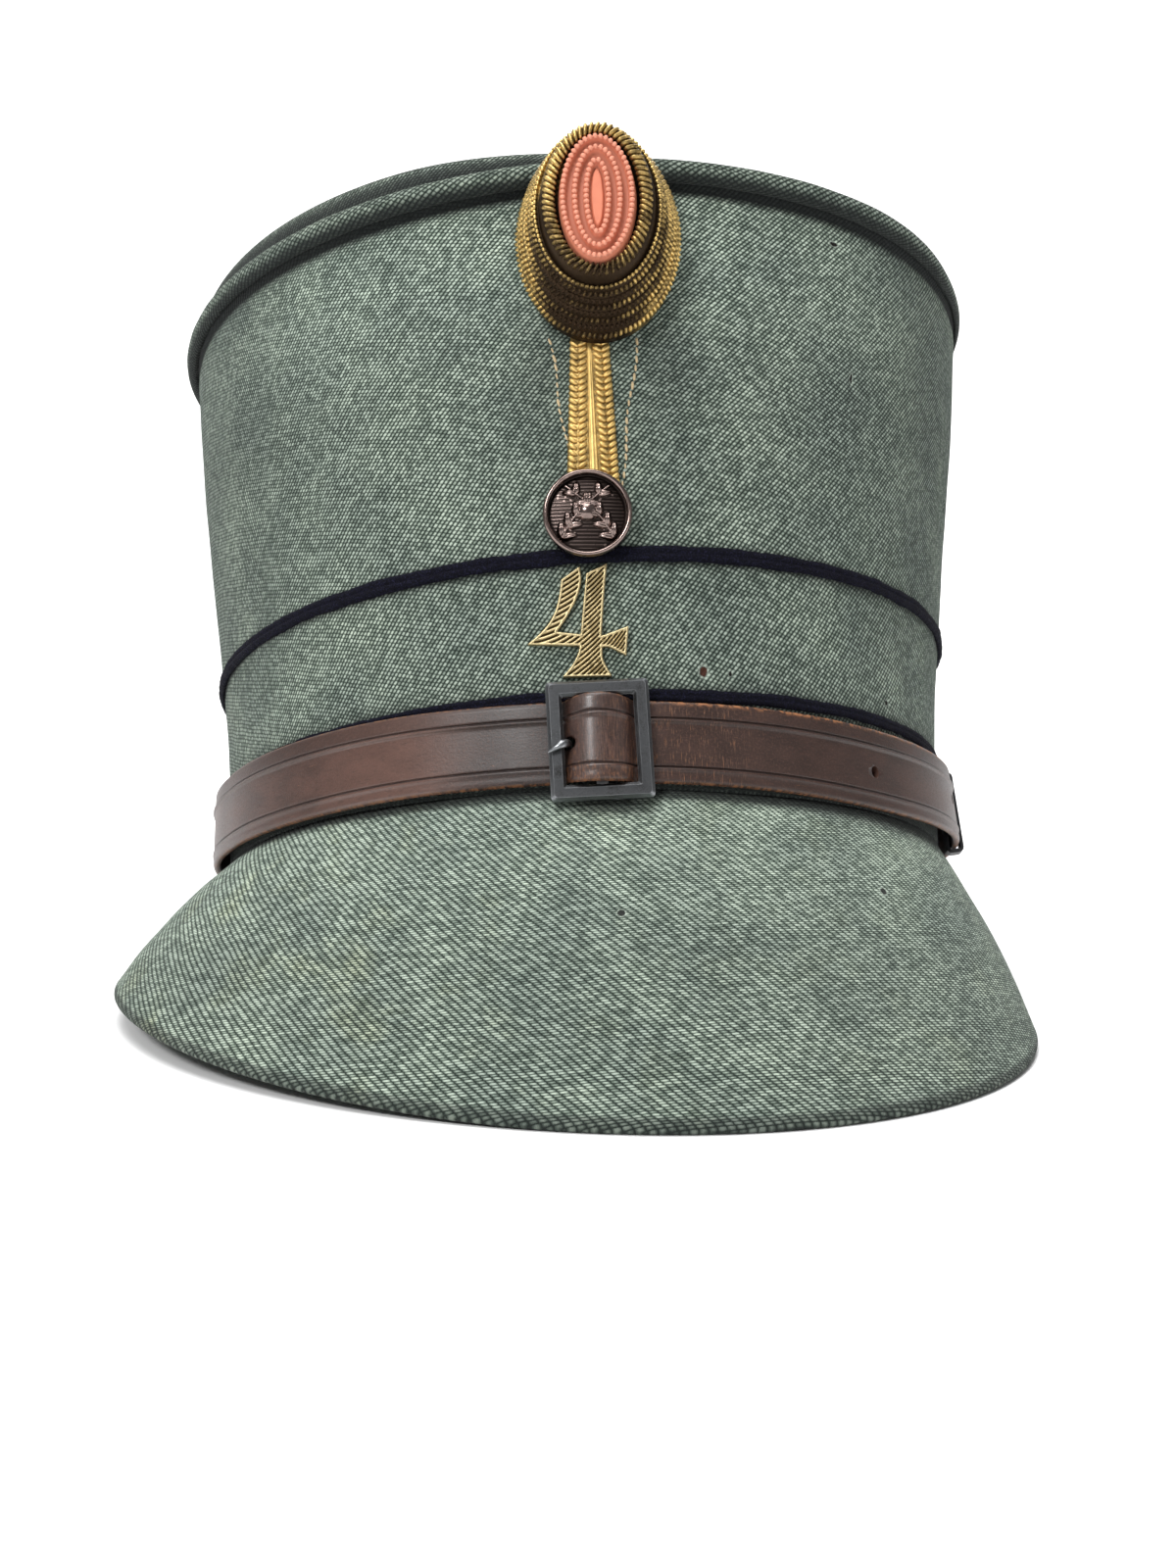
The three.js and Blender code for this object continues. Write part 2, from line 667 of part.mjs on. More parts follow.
// Keeper: a short flat sleeve that slides on the strap.
function makeKeeper() {
  const halfTurn = keeperLength / 2 / headHalfWidth / degrees;
  const inset = gap / strapWidth;
  const wall = keeperThickness / strapWidth;
  const lift = gap / strapThickness;
  const depthWall = keeperThickness / strapThickness;
  const loopAt = (turn, across, depth) => [
    strapPoint(turn, -across, -depth),
    strapPoint(turn, 1 + across, -depth),
    strapPoint(turn, 1 + across, 1 + depth),
    strapPoint(turn, -across, 1 + depth),
  ];
  const edges = [keeperTurn - halfTurn, keeperTurn + halfTurn];
  const outer = edges.map((turn) => loopAt(turn, inset + wall, lift + depthWall));
  const inner = edges.map((turn) => loopAt(turn, inset, lift));
  const sections = [0, 1, 2, 3].map((i) => [outer[0][i], outer[1][i], inner[1][i], inner[0][i]]);
  return named('strap_keeper', skin(sections, true), blackMetal);
}

// Numeral: a flat stamped plate.
function makeNumeral() {
  const bevel = 0.25;
  const shape = new THREE.Shape(numeralOutline.map((row) => new THREE.Vector2(
    (row.across - 0.5) * numeralWidth,
    (row.up - 0.5) * numeralHeight,
  )));
  const plate = new THREE.ExtrudeGeometry(shape, {
    depth: numeralThickness - bevel,
    bevelThickness: bevel,
    bevelSize: bevel,
    bevelOffset: -bevel,
    bevelSegments: 1,
  });
  const solid = toSolid(plate).trimByPlane([0, 0, 1], 0);
  return placeOnFront(named('numeral_4', toGeometry(solid), brass), numeralShift, numeralRise, gap);
}

// Button: a domed cap with a rolled rim, seated on the loop.
function makeButton() {
  const radius = buttonDiameter / 2;
  const seat = gap + Math.max(upperPipingThickness, loopThickness) + gap;
  const profile = buttonSteps.map((row) => new THREE.Vector2(row.reach * radius, row.height * buttonHeight));
  const cap = new THREE.LatheGeometry(profile, roundFacets);
  cap.rotateX(Math.PI / 2);
  const mesh = named('button', facingOut(toGeometry(toSolid(cap))), darkBronze);
  return placeOnFront(mesh, buttonShift, buttonRise, seat);
}

// Gilt loop: two plaits beside a plain middle, from under the cockade to behind the button.
function makeLoop() {
  const cockadeFoot = cockadeRise - cockadeHeight / 2;
  const levels = [
    { rise: loopBottomRise, thickness: loopThickness },
    { rise: buttonRise + buttonDiameter / 2, thickness: loopThickness },
    { rise: (buttonRise + buttonDiameter / 2 + cockadeFoot) / 2, thickness: loopThickness },
    { rise: cockadeFoot - 2, thickness: loopThickness },
    { rise: cockadeFoot + 0.5, thickness: loopTuckThickness },
    { rise: cockadeFoot + cockadeTuck, thickness: loopTuckThickness },
  ];
  const ribs = [
    { across: -1, height: 0.45 },
    { across: -0.8, height: 1 },
    { across: -0.45, height: 1 },
    { across: -0.25, height: 0.55 },
    { across: 0.25, height: 0.55 },
    { across: 0.45, height: 1 },
    { across: 0.8, height: 1 },
    { across: 1, height: 0.45 },
  ];
  const sections = levels.map(({ rise, thickness }) => {
    const share = (rise - loopBottomRise) / (cockadeFoot - loopBottomRise);
    const halfWidth = (loopBottomWidth + (loopTopWidth - loopBottomWidth) * share) / 2;
    const place = (across, out) => {
      const turn = turnAt(loopShift + across * halfWidth, rise);
      return crownPoint(turn, rise, out);
    };
    return [
      ...ribs.map((row) => place(row.across, gap + thickness * row.height)),
      ...ribs.toReversed().map((row) => place(row.across, gap)),
    ];
  });
  return named('cockade_loop', skin(sections, false), giltWire);
}

// Back of the cockade: it clears the loop at its foot and the welt at its head.
function cockadeBack(up) {
  const overLoop = gap + loopTuckThickness + gap;
  const overWelt = gap + weltThickness + gap;
  const foot = cockadeRise - cockadeHeight / 2;
  const share = (cockadeRise + up - foot) / (crownHeight - weltHeight / 2 - foot);
  return overLoop + (overWelt - overLoop) * share;
}

function cockadePoint(angle, halfWidth, halfHeight, height) {
  const lift = cockadeTurnUp * (height / cockadeDepth);
  const up = Math.sin(angle) * halfHeight + lift;
  const rise = cockadeRise + up;
  const aside = cockadeTurnAside * (height / cockadeDepth);
  const turn = turnAt(cockadeShift + Math.cos(angle) * halfWidth - aside, rise);
  return crownPoint(turn, rise, cockadeBack(up) + height);
}

function ovalAngles() {
  return Array.from({ length: ovalFacets }, (_, i) => (i * 2 * Math.PI) / ovalFacets);
}

// Cockade body: a stepped oval dome with a raised ring round its flat field.
function makeCockadeBody() {
  const seat = cockadeDepth - cockadeFieldDepth;
  const width = (reach) => (cockadeFieldWidth + (cockadeWidth - cockadeFieldWidth) * reach) / 2;
  const height = (reach) => (cockadeFieldHeight + (cockadeHeight - cockadeFieldHeight) * reach) / 2;
  const sections = ovalAngles().map((angle) => [
    cockadePoint(angle, 0, 0, seat),
    cockadePoint(angle, width(0), height(0), seat),
    ...cockadeSteps.map((row) => cockadePoint(angle, width(row.reach), height(row.reach), row.height * cockadeDepth)),
    cockadePoint(angle, width(1), height(1), 0),
    cockadePoint(angle, 0, 0, 0),
  ]);
  return named('cockade_body', skin(sections, true), giltWire);
}

// Cockade field: an oval plate with raised rings round a plain middle.
function makeCockadeField() {
  const seat = cockadeDepth - cockadeFieldDepth + gap;
  const halfWidth = cockadeFieldWidth / 2 - gap;
  const halfHeight = cockadeFieldHeight / 2 - gap;
  const sections = ovalAngles().map((angle) => {
    const place = (reach, height) => cockadePoint(angle, halfWidth * reach, halfHeight * reach, seat + height);
    return [
      cockadePoint(angle, 0, 0, seat + cockadeFieldDepth * 0.85),
      ...fieldRidges.map((row) => place(row.reach, row.height * cockadeFieldDepth)),
      place(1, cockadeFieldDepth * 0.1),
      cockadePoint(angle, 0, 0, seat),
    ];
  });
  return named('cockade_centre', skin(sections, true), orangeEnamel);
}

const kepi = new THREE.Group();
const hat = new THREE.Group();
hat.add(
  makeCrownWall(),
  makeCrownTop(),
  makeCord('top_welt', crownHeight + weltRise, weltThicknessAt, weltHeight, 8, greenCloth),
  makeCord('upper_piping', upperPipingRise, () => upperPipingThickness, upperPipingHeight, 6, navyCord),
  makeCord('lower_piping', lowerPipingRise, () => lowerPipingThickness, lowerPipingHeight, 6, navyCord),
  makePeak(),
  makeStrap(),
  makeBuckle(),
  makeProng(),
  makeKeeper(),
  makeNumeral(),
  makeButton(),
  makeLoop(),
  makeCockadeBody(),
  makeCockadeField(),
);

// Stand the kepi on level ground, its origin under the middle of its bounding box.
const upFromGround = new THREE.Vector3(-ground.sideways, -ground.pitch, 1).normalize();
hat.quaternion.setFromUnitVectors(upFromGround, new THREE.Vector3(0, 0, 1));
kepi.add(hat);
kepi.updateMatrixWorld(true);
const bounds = new THREE.Box3().setFromObject(kepi, true);
const middleOfBounds = bounds.getCenter(new THREE.Vector3());
hat.position.set(-middleOfBounds.x, -middleOfBounds.y, -bounds.min.z);

export default kepi;
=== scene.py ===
import math

import bmesh
import bpy
import numpy as np
from mathutils import Matrix, Vector
from mathutils.noise import noise as smooth_noise


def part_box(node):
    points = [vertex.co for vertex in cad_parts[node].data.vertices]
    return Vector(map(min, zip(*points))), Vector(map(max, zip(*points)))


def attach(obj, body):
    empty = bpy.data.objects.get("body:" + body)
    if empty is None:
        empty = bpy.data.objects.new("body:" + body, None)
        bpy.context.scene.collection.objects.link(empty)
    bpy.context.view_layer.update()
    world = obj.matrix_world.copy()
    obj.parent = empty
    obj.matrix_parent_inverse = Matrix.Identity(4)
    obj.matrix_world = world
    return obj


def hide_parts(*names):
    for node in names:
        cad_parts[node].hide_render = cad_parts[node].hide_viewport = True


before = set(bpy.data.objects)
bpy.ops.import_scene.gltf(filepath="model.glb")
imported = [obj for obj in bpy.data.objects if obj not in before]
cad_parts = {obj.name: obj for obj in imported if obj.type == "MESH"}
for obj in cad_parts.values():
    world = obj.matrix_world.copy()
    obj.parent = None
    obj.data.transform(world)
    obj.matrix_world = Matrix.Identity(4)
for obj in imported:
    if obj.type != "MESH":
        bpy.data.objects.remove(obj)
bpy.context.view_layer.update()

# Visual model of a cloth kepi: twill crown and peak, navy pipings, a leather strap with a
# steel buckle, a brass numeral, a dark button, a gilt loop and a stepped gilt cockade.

bl_info = {
    "name": "Kepi",
    "version": (1, 0, 0),
    "blender": (4, 5, 0),
    "location": "View3D > Sidebar > Kepi",
    "description": "Builds the looks of a cloth kepi around its packed solids",
    "category": "Object",
}

# Sizes in millimetres and degrees, most of them those of the solids. The crown's own axes have
# the lower rim at zero height, the front towards -Y, and turn in degrees from the front towards +X.
GAP = 0.3
HEAD_HALF_WIDTH, HEAD_HALF_LENGTH = 87.7, 102
TOP_HALF_WIDTH, TOP_HALF_LENGTH = 99.6, 113
CROWN_HEIGHT, CROWN_WALL = 138, 2.5
TOP_SHIFT, TOP_LEAN, TOP_TIP, TOP_SAG = 1.6, 0.055, 0.092, 3.2
TOP_PANEL_THICKNESS, TOP_ROLL_HEIGHT, TOP_ROLL_DEPTH = 2.4, 11.6, 1.2
WELT_THICKNESS, WELT_HEIGHT, WELT_RISE = 3.4, 4.8, 0.4
UPPER_PIPING = {"rise": 48.4, "thickness": 1.4, "height": 3.0}
LOWER_PIPING = {"rise": 19.4, "thickness": 1.0, "height": 2.4}
PEAK_LENGTH, PEAK_THICKNESS, PEAK_CAMBER, PEAK_END_TURN = 79, 3, 1.3, 84
PEAK_SLOPE_FRONT, PEAK_SLOPE_RIGHT, PEAK_SLOPE_LEFT = 59, 46.5, 68
PEAK_CORNER_RIGHT, PEAK_CORNER_LEFT, PEAK_LIFT_RIGHT = 12, 19, 4.8
PEAK_LIFTED_FROM = 0.7
REST_LEAN = 2.8
STRAP_WIDTH, STRAP_THICKNESS, STRAP_RISE, STRAP_CLOSENESS = 16.8, 1.8, 1.2, 0.7
STRAP_LIFT, STRAP_STAND_OFF, STRAP_TILT, STRAP_HOLE_DIAMETER = 2, 2.9, 5, 2.6
STRAP_LOWER_EDGE = 0.9
WINDOW_SWELL, WINDOW_RISE, WINDOW_INSET = 0.07, 0.25, 0.75
BUCKLE_WIDTH, BUCKLE_HEIGHT, BUCKLE_BAR, BUCKLE_THICKNESS = 20.4, 24, 2.7, 2
MIDDLE_BAR, MIDDLE_BAR_THICKNESS = 2.4, 1.2
BUCKLE_SHIFT, BUCKLE_TURN = 1, 2.5
BUCKLE_RISE = STRAP_RISE + STRAP_WIDTH / 2
BUCKLE_OUT = STRAP_CLOSENESS + STRAP_THICKNESS + GAP
PRONG_THICKNESS, PRONG_HOLE_DIAMETER, PRONG_HOLE_SHARE, PRONG_INSET = 1.6, 2.8, 0.46, 0.4
PRONG_SHIFT = BUCKLE_SHIFT - BUCKLE_WIDTH / 2 + BUCKLE_BAR + PRONG_HOLE_DIAMETER / 2 + PRONG_INSET
KEEPER_LENGTH, KEEPER_THICKNESS, KEEPER_TURN = 4, 0.9, 82
NUMERAL_WIDTH, NUMERAL_HEIGHT, NUMERAL_THICKNESS = 20.4, 23.2, 1.2
NUMERAL_SHIFT, NUMERAL_RISE = -2.6, 35
BUTTON_DIAMETER, BUTTON_SHIFT, BUTTON_RISE = 18, -0.2, 56.2
LOOP_TOP_WIDTH, LOOP_BOTTOM_WIDTH, LOOP_THICKNESS, LOOP_TUCK_THICKNESS = 8, 11.4, 1.5, 1.1
LOOP_BOTTOM_RISE, LOOP_SHIFT = 55, 1.2
COCKADE_WIDTH, COCKADE_HEIGHT, COCKADE_DEPTH = 31.4, 46.8, 14
FIELD_WIDTH, FIELD_HEIGHT, FIELD_DEPTH = 14.8, 31.6, 2.2
COCKADE_SHIFT, COCKADE_DROP, COCKADE_TURN_UP, COCKADE_TUCK = 3.4, 19.3, 3, 4.5
COCKADE_TURN_ASIDE = 0.8
COCKADE_RISE = CROWN_HEIGHT - COCKADE_DROP
COCKADE_FOOT = COCKADE_RISE - COCKADE_HEIGHT / 2


def table(columns, rows):
    """Rows of numbers under named columns."""
    return [dict(zip(columns.split(), row)) for row in rows]


# The crown by share of its height, its top by share of the way out, and its rim by turn.
CROWN_SECTIONS = table("height flare lean tip", [
    (0, 0, 0, 0), (0.15, 0.04, 0.45, 0.01), (0.26, 0.12, 0.6, 0.02), (0.37, 0.26, 0.7, 0.04),
    (0.52, 0.46, 0.8, 0.15), (0.68, 0.66, 0.88, 0.4), (0.85, 0.86, 0.95, 0.72), (1, 1, 1, 1),
    (1.1, 1.08, 1, 1.1),
])
TOP_SECTIONS = table("reach dish", [
    (0, 1), (0.5, 1), (0.8, 0.85), (0.9, 0.35), (0.955, 0), (0.985, 0), (0.997, 0),
])
RIM_STATIONS = table("turn sag roll welt", [
    (-180, 0, 0.6, 1), (-110, 0, 0.8, 0.75), (-60, 0, 0.98, 0.7), (-25, 0, 0.95, 1),
    (-10, 0, 0.8, 1), (5, 0, 0.56, 1), (25, 0.4, 0.42, 1), (45, 0.85, 0.32, 0.9),
    (65, 1.35, 0.26, 0.4), (95, 1.1, 0.3, 0.35), (130, 0.4, 0.5, 0.8), (180, 0, 0.6, 1),
])
# The strap by turn, and its holes as turn and share of its width.
STRAP_STATIONS = table("turn stand_off tilt lift on_piping", [
    (-180, 0, 0, 0, 1), (-110, 0, 0, 0, 1), (-75, 0.7, 0.2, 0, 1), (-45, 0, 0, 0, 1),
    (-24, 0, 0, 0, 1), (-13, 0, 0, 0, 0), (16, 0, 0, 0, 0), (45, 0.3, 0.1, 0, 0),
    (62, 0.7, 0.6, 0.3, 1), (80, 1, 1, 1, 1), (94, 1, 0.8, 1, 1), (115, 0.7, 0.2, 0.5, 1),
    (145, 0.2, 0, 0, 1), (180, 0, 0, 0, 1),
])
STRAP_HOLES = [(42, 0.45), (71, 0.52)]
# The cockade's body by share of the way out.
COCKADE_STEPS = table("reach height", [
    (0.0, 0.84), (0.02, 0.93), (0.13, 0.97), (0.26, 0.9), (0.33, 0.76), (0.42, 0.78), (0.5, 0.65),
    (0.58, 0.63), (0.66, 0.49), (0.75, 0.46), (0.83, 0.31), (0.92, 0.26), (1, 0.1),
])
# The numeral's outline: share across, share up, and whether it is a corner.
NUMERAL_OUTLINE = [
    (0.343, 0.861, True), (0.53, 0.979, True), (0.54, 0.843, False), (0.49, 0.687, False),
    (0.394, 0.53, False), (0.293, 0.4, True), (0.525, 0.374, True), (0.55, 0.583, False),
    (0.57, 0.757, False), (0.59, 0.913, True), (0.798, 1, True), (0.768, 0.757, False),
    (0.731, 0.357, True), (1, 0.44, True), (0.97, 0.179, True), (0.818, 0.252, False),
    (0.737, 0.261, True), (0.745, 0.15, False), (0.83, 0, True), (0.34, 0, True),
    (0.434, 0.1, False), (0.495, 0.2, False), (0.515, 0.273, True), (0, 0.29, True),
    (0.152, 0.409, False), (0.253, 0.53, False), (0.313, 0.687, False),
]
# The cockade's centre by share of the way out: shares of its half width and half height, and
# where its beaded ovals lie.
CENTRE_WIDTHS = [(0, 0), (0.1, 0.1), (0.3, 0.28), (0.6, 0.57), (0.9, 0.87), (1, 1)]
CENTRE_HEIGHTS = [(0, 0), (0.1, 0.4), (0.3, 0.56), (0.6, 0.76), (0.9, 0.92), (1, 1)]
CENTRE_RINGS = (0.3, 0.6, 0.9)
# Moth holes in the crown and dark marks on the peak, with sizes as they lie on the cloth.
MOTH_HOLES = [
    {"turn": 14.8, "rise": 24.6, "width": 1.9, "height": 2.4, "colour": (0.055, 0.02, 0.013)},
    {"turn": 18.6, "rise": 24.4, "width": 0.9, "height": 1.1},
    {"turn": 37.3, "rise": 95.6, "width": 1.1, "height": 2.6},
    {"turn": 48.2, "rise": 24.3, "width": 1.3, "height": 1.2},
    {"turn": 70.6, "rise": 81.6, "width": 1.6, "height": 2.2},
    {"turn": 33.3, "rise": 129, "width": 2.4, "height": 1.2},
]
PEAK_MARKS = [{"turn": 2.0, "down": 0.42, "size": 1.5}, {"turn": 35.0, "down": 0.34, "size": 1.7}]

# The camera, in the crown's own axes.
CAMERA_DISTANCE, CAMERA_AZIMUTH, CAMERA_ELEVATION, CAMERA_ROLL = 450, -1.7, -12.5, -1.6
CAMERA_AIM = (1.6, 0, 24.2)
FOCAL_PIXELS, IMAGE_HEIGHT, SENSOR = 1786, 1600, 36


# Settings
class KepiSizes(bpy.types.PropertyGroup):
    rib_pitch: bpy.props.FloatProperty(
        name="Rib pitch", description="Distance between the twill ribs of the crown", default=0.0009,
        unit="LENGTH")
    peak_row: bpy.props.FloatProperty(
        name="Peak row", description="Distance between the rows of floats on the peak", default=0.00054,
        unit="LENGTH")
    stitch_pitch: bpy.props.FloatProperty(
        name="Stitch pitch", description="Distance from one stitch to the next", default=0.0018,
        unit="LENGTH")
    rope_pitch: bpy.props.FloatProperty(
        name="Rope pitch", description="Distance between the strands of the cockade's ring",
        default=0.00118, unit="LENGTH")
    band_pitch: bpy.props.FloatProperty(
        name="Band pitch", description="Distance between the ribs of the cockade's bands",
        default=0.00108, unit="LENGTH")
    plait_pitch: bpy.props.FloatProperty(
        name="Plait pitch", description="Distance between the strands of the loop's plaits",
        default=0.0013, unit="LENGTH")
    bead_pitch: bpy.props.FloatProperty(
        name="Bead pitch", description="Distance between the beads of the cockade's centre",
        default=0.00108, unit="LENGTH")
    hatch_pitch: bpy.props.FloatProperty(
        name="Hatch pitch", description="Distance between the hatched lines of the numeral",
        default=0.00086, unit="LENGTH")


def colour_property(name, description, default):
    return bpy.props.FloatVectorProperty(name=name, description=description, default=default,
                                         subtype="COLOR", size=3, min=0, max=1)


class KepiColours(bpy.types.PropertyGroup):
    cloth_dark: colour_property("Cloth, dark", "Grooves of the twill", (0.02, 0.029, 0.0235))
    cloth: colour_property("Cloth", "Ribs of the twill", (0.165, 0.205, 0.17))
    cloth_light: colour_property("Cloth, light", "Light flecks of the twill", (0.5, 0.57, 0.49))
    navy: colour_property("Navy", "Pipings", (0.0018, 0.0018, 0.0045))
    leather: colour_property("Leather", "Strap", (0.062, 0.03, 0.022))
    leather_worn: colour_property("Leather, worn", "Rubbed edges of the strap", (0.34, 0.14, 0.055))
    steel: colour_property("Steel", "Buckle", (0.085, 0.088, 0.092))
    brass: colour_property("Brass", "Numeral", (0.46, 0.375, 0.21))
    gilt: colour_property("Gilt", "Cockade and loop", (0.72, 0.5, 0.18))
    # This colour also paints shade on the cockade.
    tarnish_and_shade: colour_property("Tarnish", "Dulled gilt", (0.035, 0.021, 0.011))
    bronze: colour_property("Bronze", "Button", (0.2, 0.15, 0.135))
    orange: colour_property("Orange", "Centre of the cockade", (0.62, 0.2, 0.115))
    thread: colour_property("Thread", "Loose stitches on the crown", (0.46, 0.35, 0.2))
    floor: colour_property("Floor", "Floor and backdrop", (0.9, 0.9, 0.9))


# Shader maths
class Value:
    """A node socket that takes part in arithmetic."""

    def __init__(self, shader, socket):
        self.shader = shader
        self.socket = socket

    def maths(self, operation, *others):
        return self.shader.maths(operation, self, *others)

    def __add__(self, other):
        return self.maths("ADD", other)

    def __sub__(self, other):
        return self.maths("SUBTRACT", other)

    def __rsub__(self, other):
        return self.shader.maths("SUBTRACT", other, self)

    def __mul__(self, other):
        return self.maths("MULTIPLY", other)

    def __truediv__(self, other):
        return self.maths("DIVIDE", other)

    def __pow__(self, other):
        return self.maths("POWER", other)

    __radd__ = __add__
    __rmul__ = __mul__

    def sine(self):
        return self.maths("SINE")

    def absolute(self):
        return self.maths("ABSOLUTE")

    def floor(self):
        return self.maths("FLOOR")

    def fraction(self):
        return self.maths("FRACT")

    def most(self, other):
        return self.maths("MAXIMUM", other)

    def between(self, low, high):
        """0 below low, 1 above high, smooth in between."""
        return self.shader.node("ShaderNodeMapRange", {"interpolation_type": "SMOOTHSTEP"},
                                {"Value": self, "From Min": low, "From Max": high})


class Shader:
    """A material that is built from expressions."""

    def __init__(self, name):
        self.material = bpy.data.materials.new(name)
        self.material.use_nodes = True
        self.tree = self.material.node_tree
        self.tree.nodes.clear()

    def feed(self, socket, value):
        if isinstance(value, Value):
            self.tree.links.new(value.socket, socket)
        elif isinstance(value, (tuple, list)) and socket.type == "RGBA":
            socket.default_value = (*value[:3], 1)
        else:
            socket.default_value = value

    def node(self, kind, settings=None, sockets=None, output=0):
        """One node: its settings first, then the values or links of its sockets."""
        made = self.tree.nodes.new(kind)
        for key, value in (settings or {}).items():
            setattr(made, key, value)
        for key, value in (sockets or {}).items():
            self.feed(made.inputs[key], value)
        return Value(self, made.outputs[output])

    def maths(self, operation, *values):
        return self.node("ShaderNodeMath", {"operation": operation}, dict(enumerate(values)))

    def in_millimetres(self, spot):
        return self.node("ShaderNodeVectorMath", {"operation": "SCALE"}, {0: spot, "Scale": 1000})

    def place(self):
        """Place in the kepi's frame, in millimetres."""
        return self.in_millimetres(self.node("ShaderNodeTexCoord", output=3))

    def surface(self):
        """Place on the piece's own surface, in millimetres."""
        return self.in_millimetres(self.node("ShaderNodeUVMap", {"uv_map": "surface"}))

    def parts(self, vector):
        split = self.tree.nodes.new("ShaderNodeSeparateXYZ")
        self.feed(split.inputs[0], vector)
        return [Value(self, output) for output in split.outputs]

    def vector(self, x, y, z=0.0):
        return self.node("ShaderNodeCombineXYZ", None, {0: x, 1: y, 2: z})

    def noise(self, vector, size, detail=2.0, roughness=0.5):
        """Smooth noise from 0 to 1 with features of a size in millimetres."""
        return self.node("ShaderNodeTexNoise", {"noise_dimensions": "3D"},
                         {"Vector": vector, "Scale": 1 / size, "Detail": detail, "Roughness": roughness})

    def chance(self, row, cell):
        """An even chance from 0 to 1 for every cell of every row."""
        return self.node("ShaderNodeTexWhiteNoise", {"noise_dimensions": "2D"},
                         {"Vector": self.vector(row, cell)})

    def attribute(self, name):
        return self.node("ShaderNodeAttribute", {"attribute_name": name}, output=2)

    def mix(self, factor, first, second, blend="MIX"):
        return self.node("ShaderNodeMix", {"data_type": "RGBA", "blend_type": blend},
                         {0: factor, 6: first, 7: second}, output=2)

    def times(self, colour, gains):
        """A colour with each of its channels multiplied."""
        return self.mix(1.0, colour, gains, "MULTIPLY")

    def bump(self, height, distance, strength):
        """Relief from a height of 0 to 1, its depth in millimetres."""
        return self.node("ShaderNodeBump", None,
                         {"Height": height, "Distance": distance / 1000, "Strength": strength})

    def surfaced(self, colour, roughness, normal=None, **constants):
        """Ends the material in a Principled shader and returns the material."""
        sockets = {"Base Color": colour, "Roughness": roughness}
        if normal is not None:
            sockets["Normal"] = normal
        sockets.update({key.replace("_", " "): value for key, value in constants.items()})
        shader = self.node("ShaderNodeBsdfPrincipled", None, sockets)
        output = self.tree.nodes.new("ShaderNodeOutputMaterial")
        self.tree.links.new(shader.socket, output.inputs[0])
        return self.material


# Shape functions in the crown's own axes, in millimetres
def along(rows, key, column, at):
    """Value of one column of a table at places between its rows, on a smooth curve."""
    keys = np.array([row[key] for row in rows], float)
    values = np.array([row[column] for row in rows], float)
    at = np.asarray(at, float)
    i = np.clip(np.searchsorted(keys[1:], at, side="left"), 0, len(keys) - 2)
    before, after = np.maximum(i - 1, 0), np.minimum(i + 2, len(keys) - 1)
    span = keys[i + 1] - keys[i]
    start = (values[i + 1] - values[before]) / (keys[i + 1] - keys[before]) * span
    end = (values[after] - values[i]) / (keys[after] - keys[i]) * span
    t = (at - keys[i]) / span
    return ((2 * t**3 - 3 * t**2 + 1) * values[i] + (t**3 - 2 * t**2 + t) * start
            + (3 * t**2 - 2 * t**3) * values[i + 1] + (t**3 - t**2) * end)


def smoothstep(value, low, high):
    """0 below low, 1 above high, smooth in between."""
    t = np.clip((np.asarray(value, float) - low) / (high - low), 0, 1)
    return t * t * (3 - 2 * t)


def crown_normal(turn):
    """Level outward directions of the crown at turns in degrees."""
    turn = np.radians(np.asarray(turn, float))
    normal = np.stack([HEAD_HALF_LENGTH * np.sin(turn), -HEAD_HALF_WIDTH * np.cos(turn), 0 * turn], -1)
    return normal / np.linalg.norm(normal, axis=-1, keepdims=True)


def crown_point(turn, rise, out=0.0):
    """Points of the crown's outer face: degrees round, height above the rim, distance out."""
    turn, rise, out = np.broadcast_arrays(np.asarray(turn, float), np.asarray(rise, float),
                                          np.asarray(out, float))
    share = rise / CROWN_HEIGHT
    flare, lean, tip = (along(CROWN_SECTIONS, "height", c, share) for c in ("flare", "lean", "tip"))
    half_width = HEAD_HALF_WIDTH + (TOP_HALF_WIDTH - HEAD_HALF_WIDTH) * flare
    half_length = HEAD_HALF_LENGTH + (TOP_HALF_LENGTH - HEAD_HALF_LENGTH) * flare
    x = TOP_SHIFT * share + half_width * np.sin(np.radians(turn))
    y = -half_length * np.cos(np.radians(turn))
    sag = TOP_SAG * along(RIM_STATIONS, "turn", "sag", turn) * tip
    z = rise + TOP_LEAN * lean * x + TOP_TIP * tip * y - sag
    return np.stack([x, y, z], -1) + crown_normal(turn) * out[..., None]


def turn_at(across, rise):
    """Turn of the front place that lies so far towards +X at a height above the rim."""
    share = np.asarray(rise, float) / CROWN_HEIGHT
    flare = along(CROWN_SECTIONS, "height", "flare", share)
    half_width = HEAD_HALF_WIDTH + (TOP_HALF_WIDTH - HEAD_HALF_WIDTH) * flare
    return np.degrees(np.arcsin((across - TOP_SHIFT * share) / half_width))


def front_axes(across, rise, roll=0.0):
    """Side, upright and outward directions of the crown's front at a place."""
    step = 4
    turn = turn_at(across, rise)
    upright = crown_point(turn, rise + step) - crown_point(turn, rise - step)
    upright /= np.linalg.norm(upright)
    side = np.cross(upright, crown_normal(turn))
    side /= np.linalg.norm(side)
    outward = np.cross(side, upright)
    c, s = math.cos(math.radians(roll)), math.sin(math.radians(roll))
    return side * c + upright * s, upright * c - side * s, outward


def on_front(points, across, rise, out, roll=0.0):
    """Puts flat points, with their own Z out of the cloth, on the front of the crown."""
    axes = np.stack(front_axes(across, rise, roll))
    return np.asarray(points, float) @ axes + crown_point(turn_at(across, rise), rise, out)


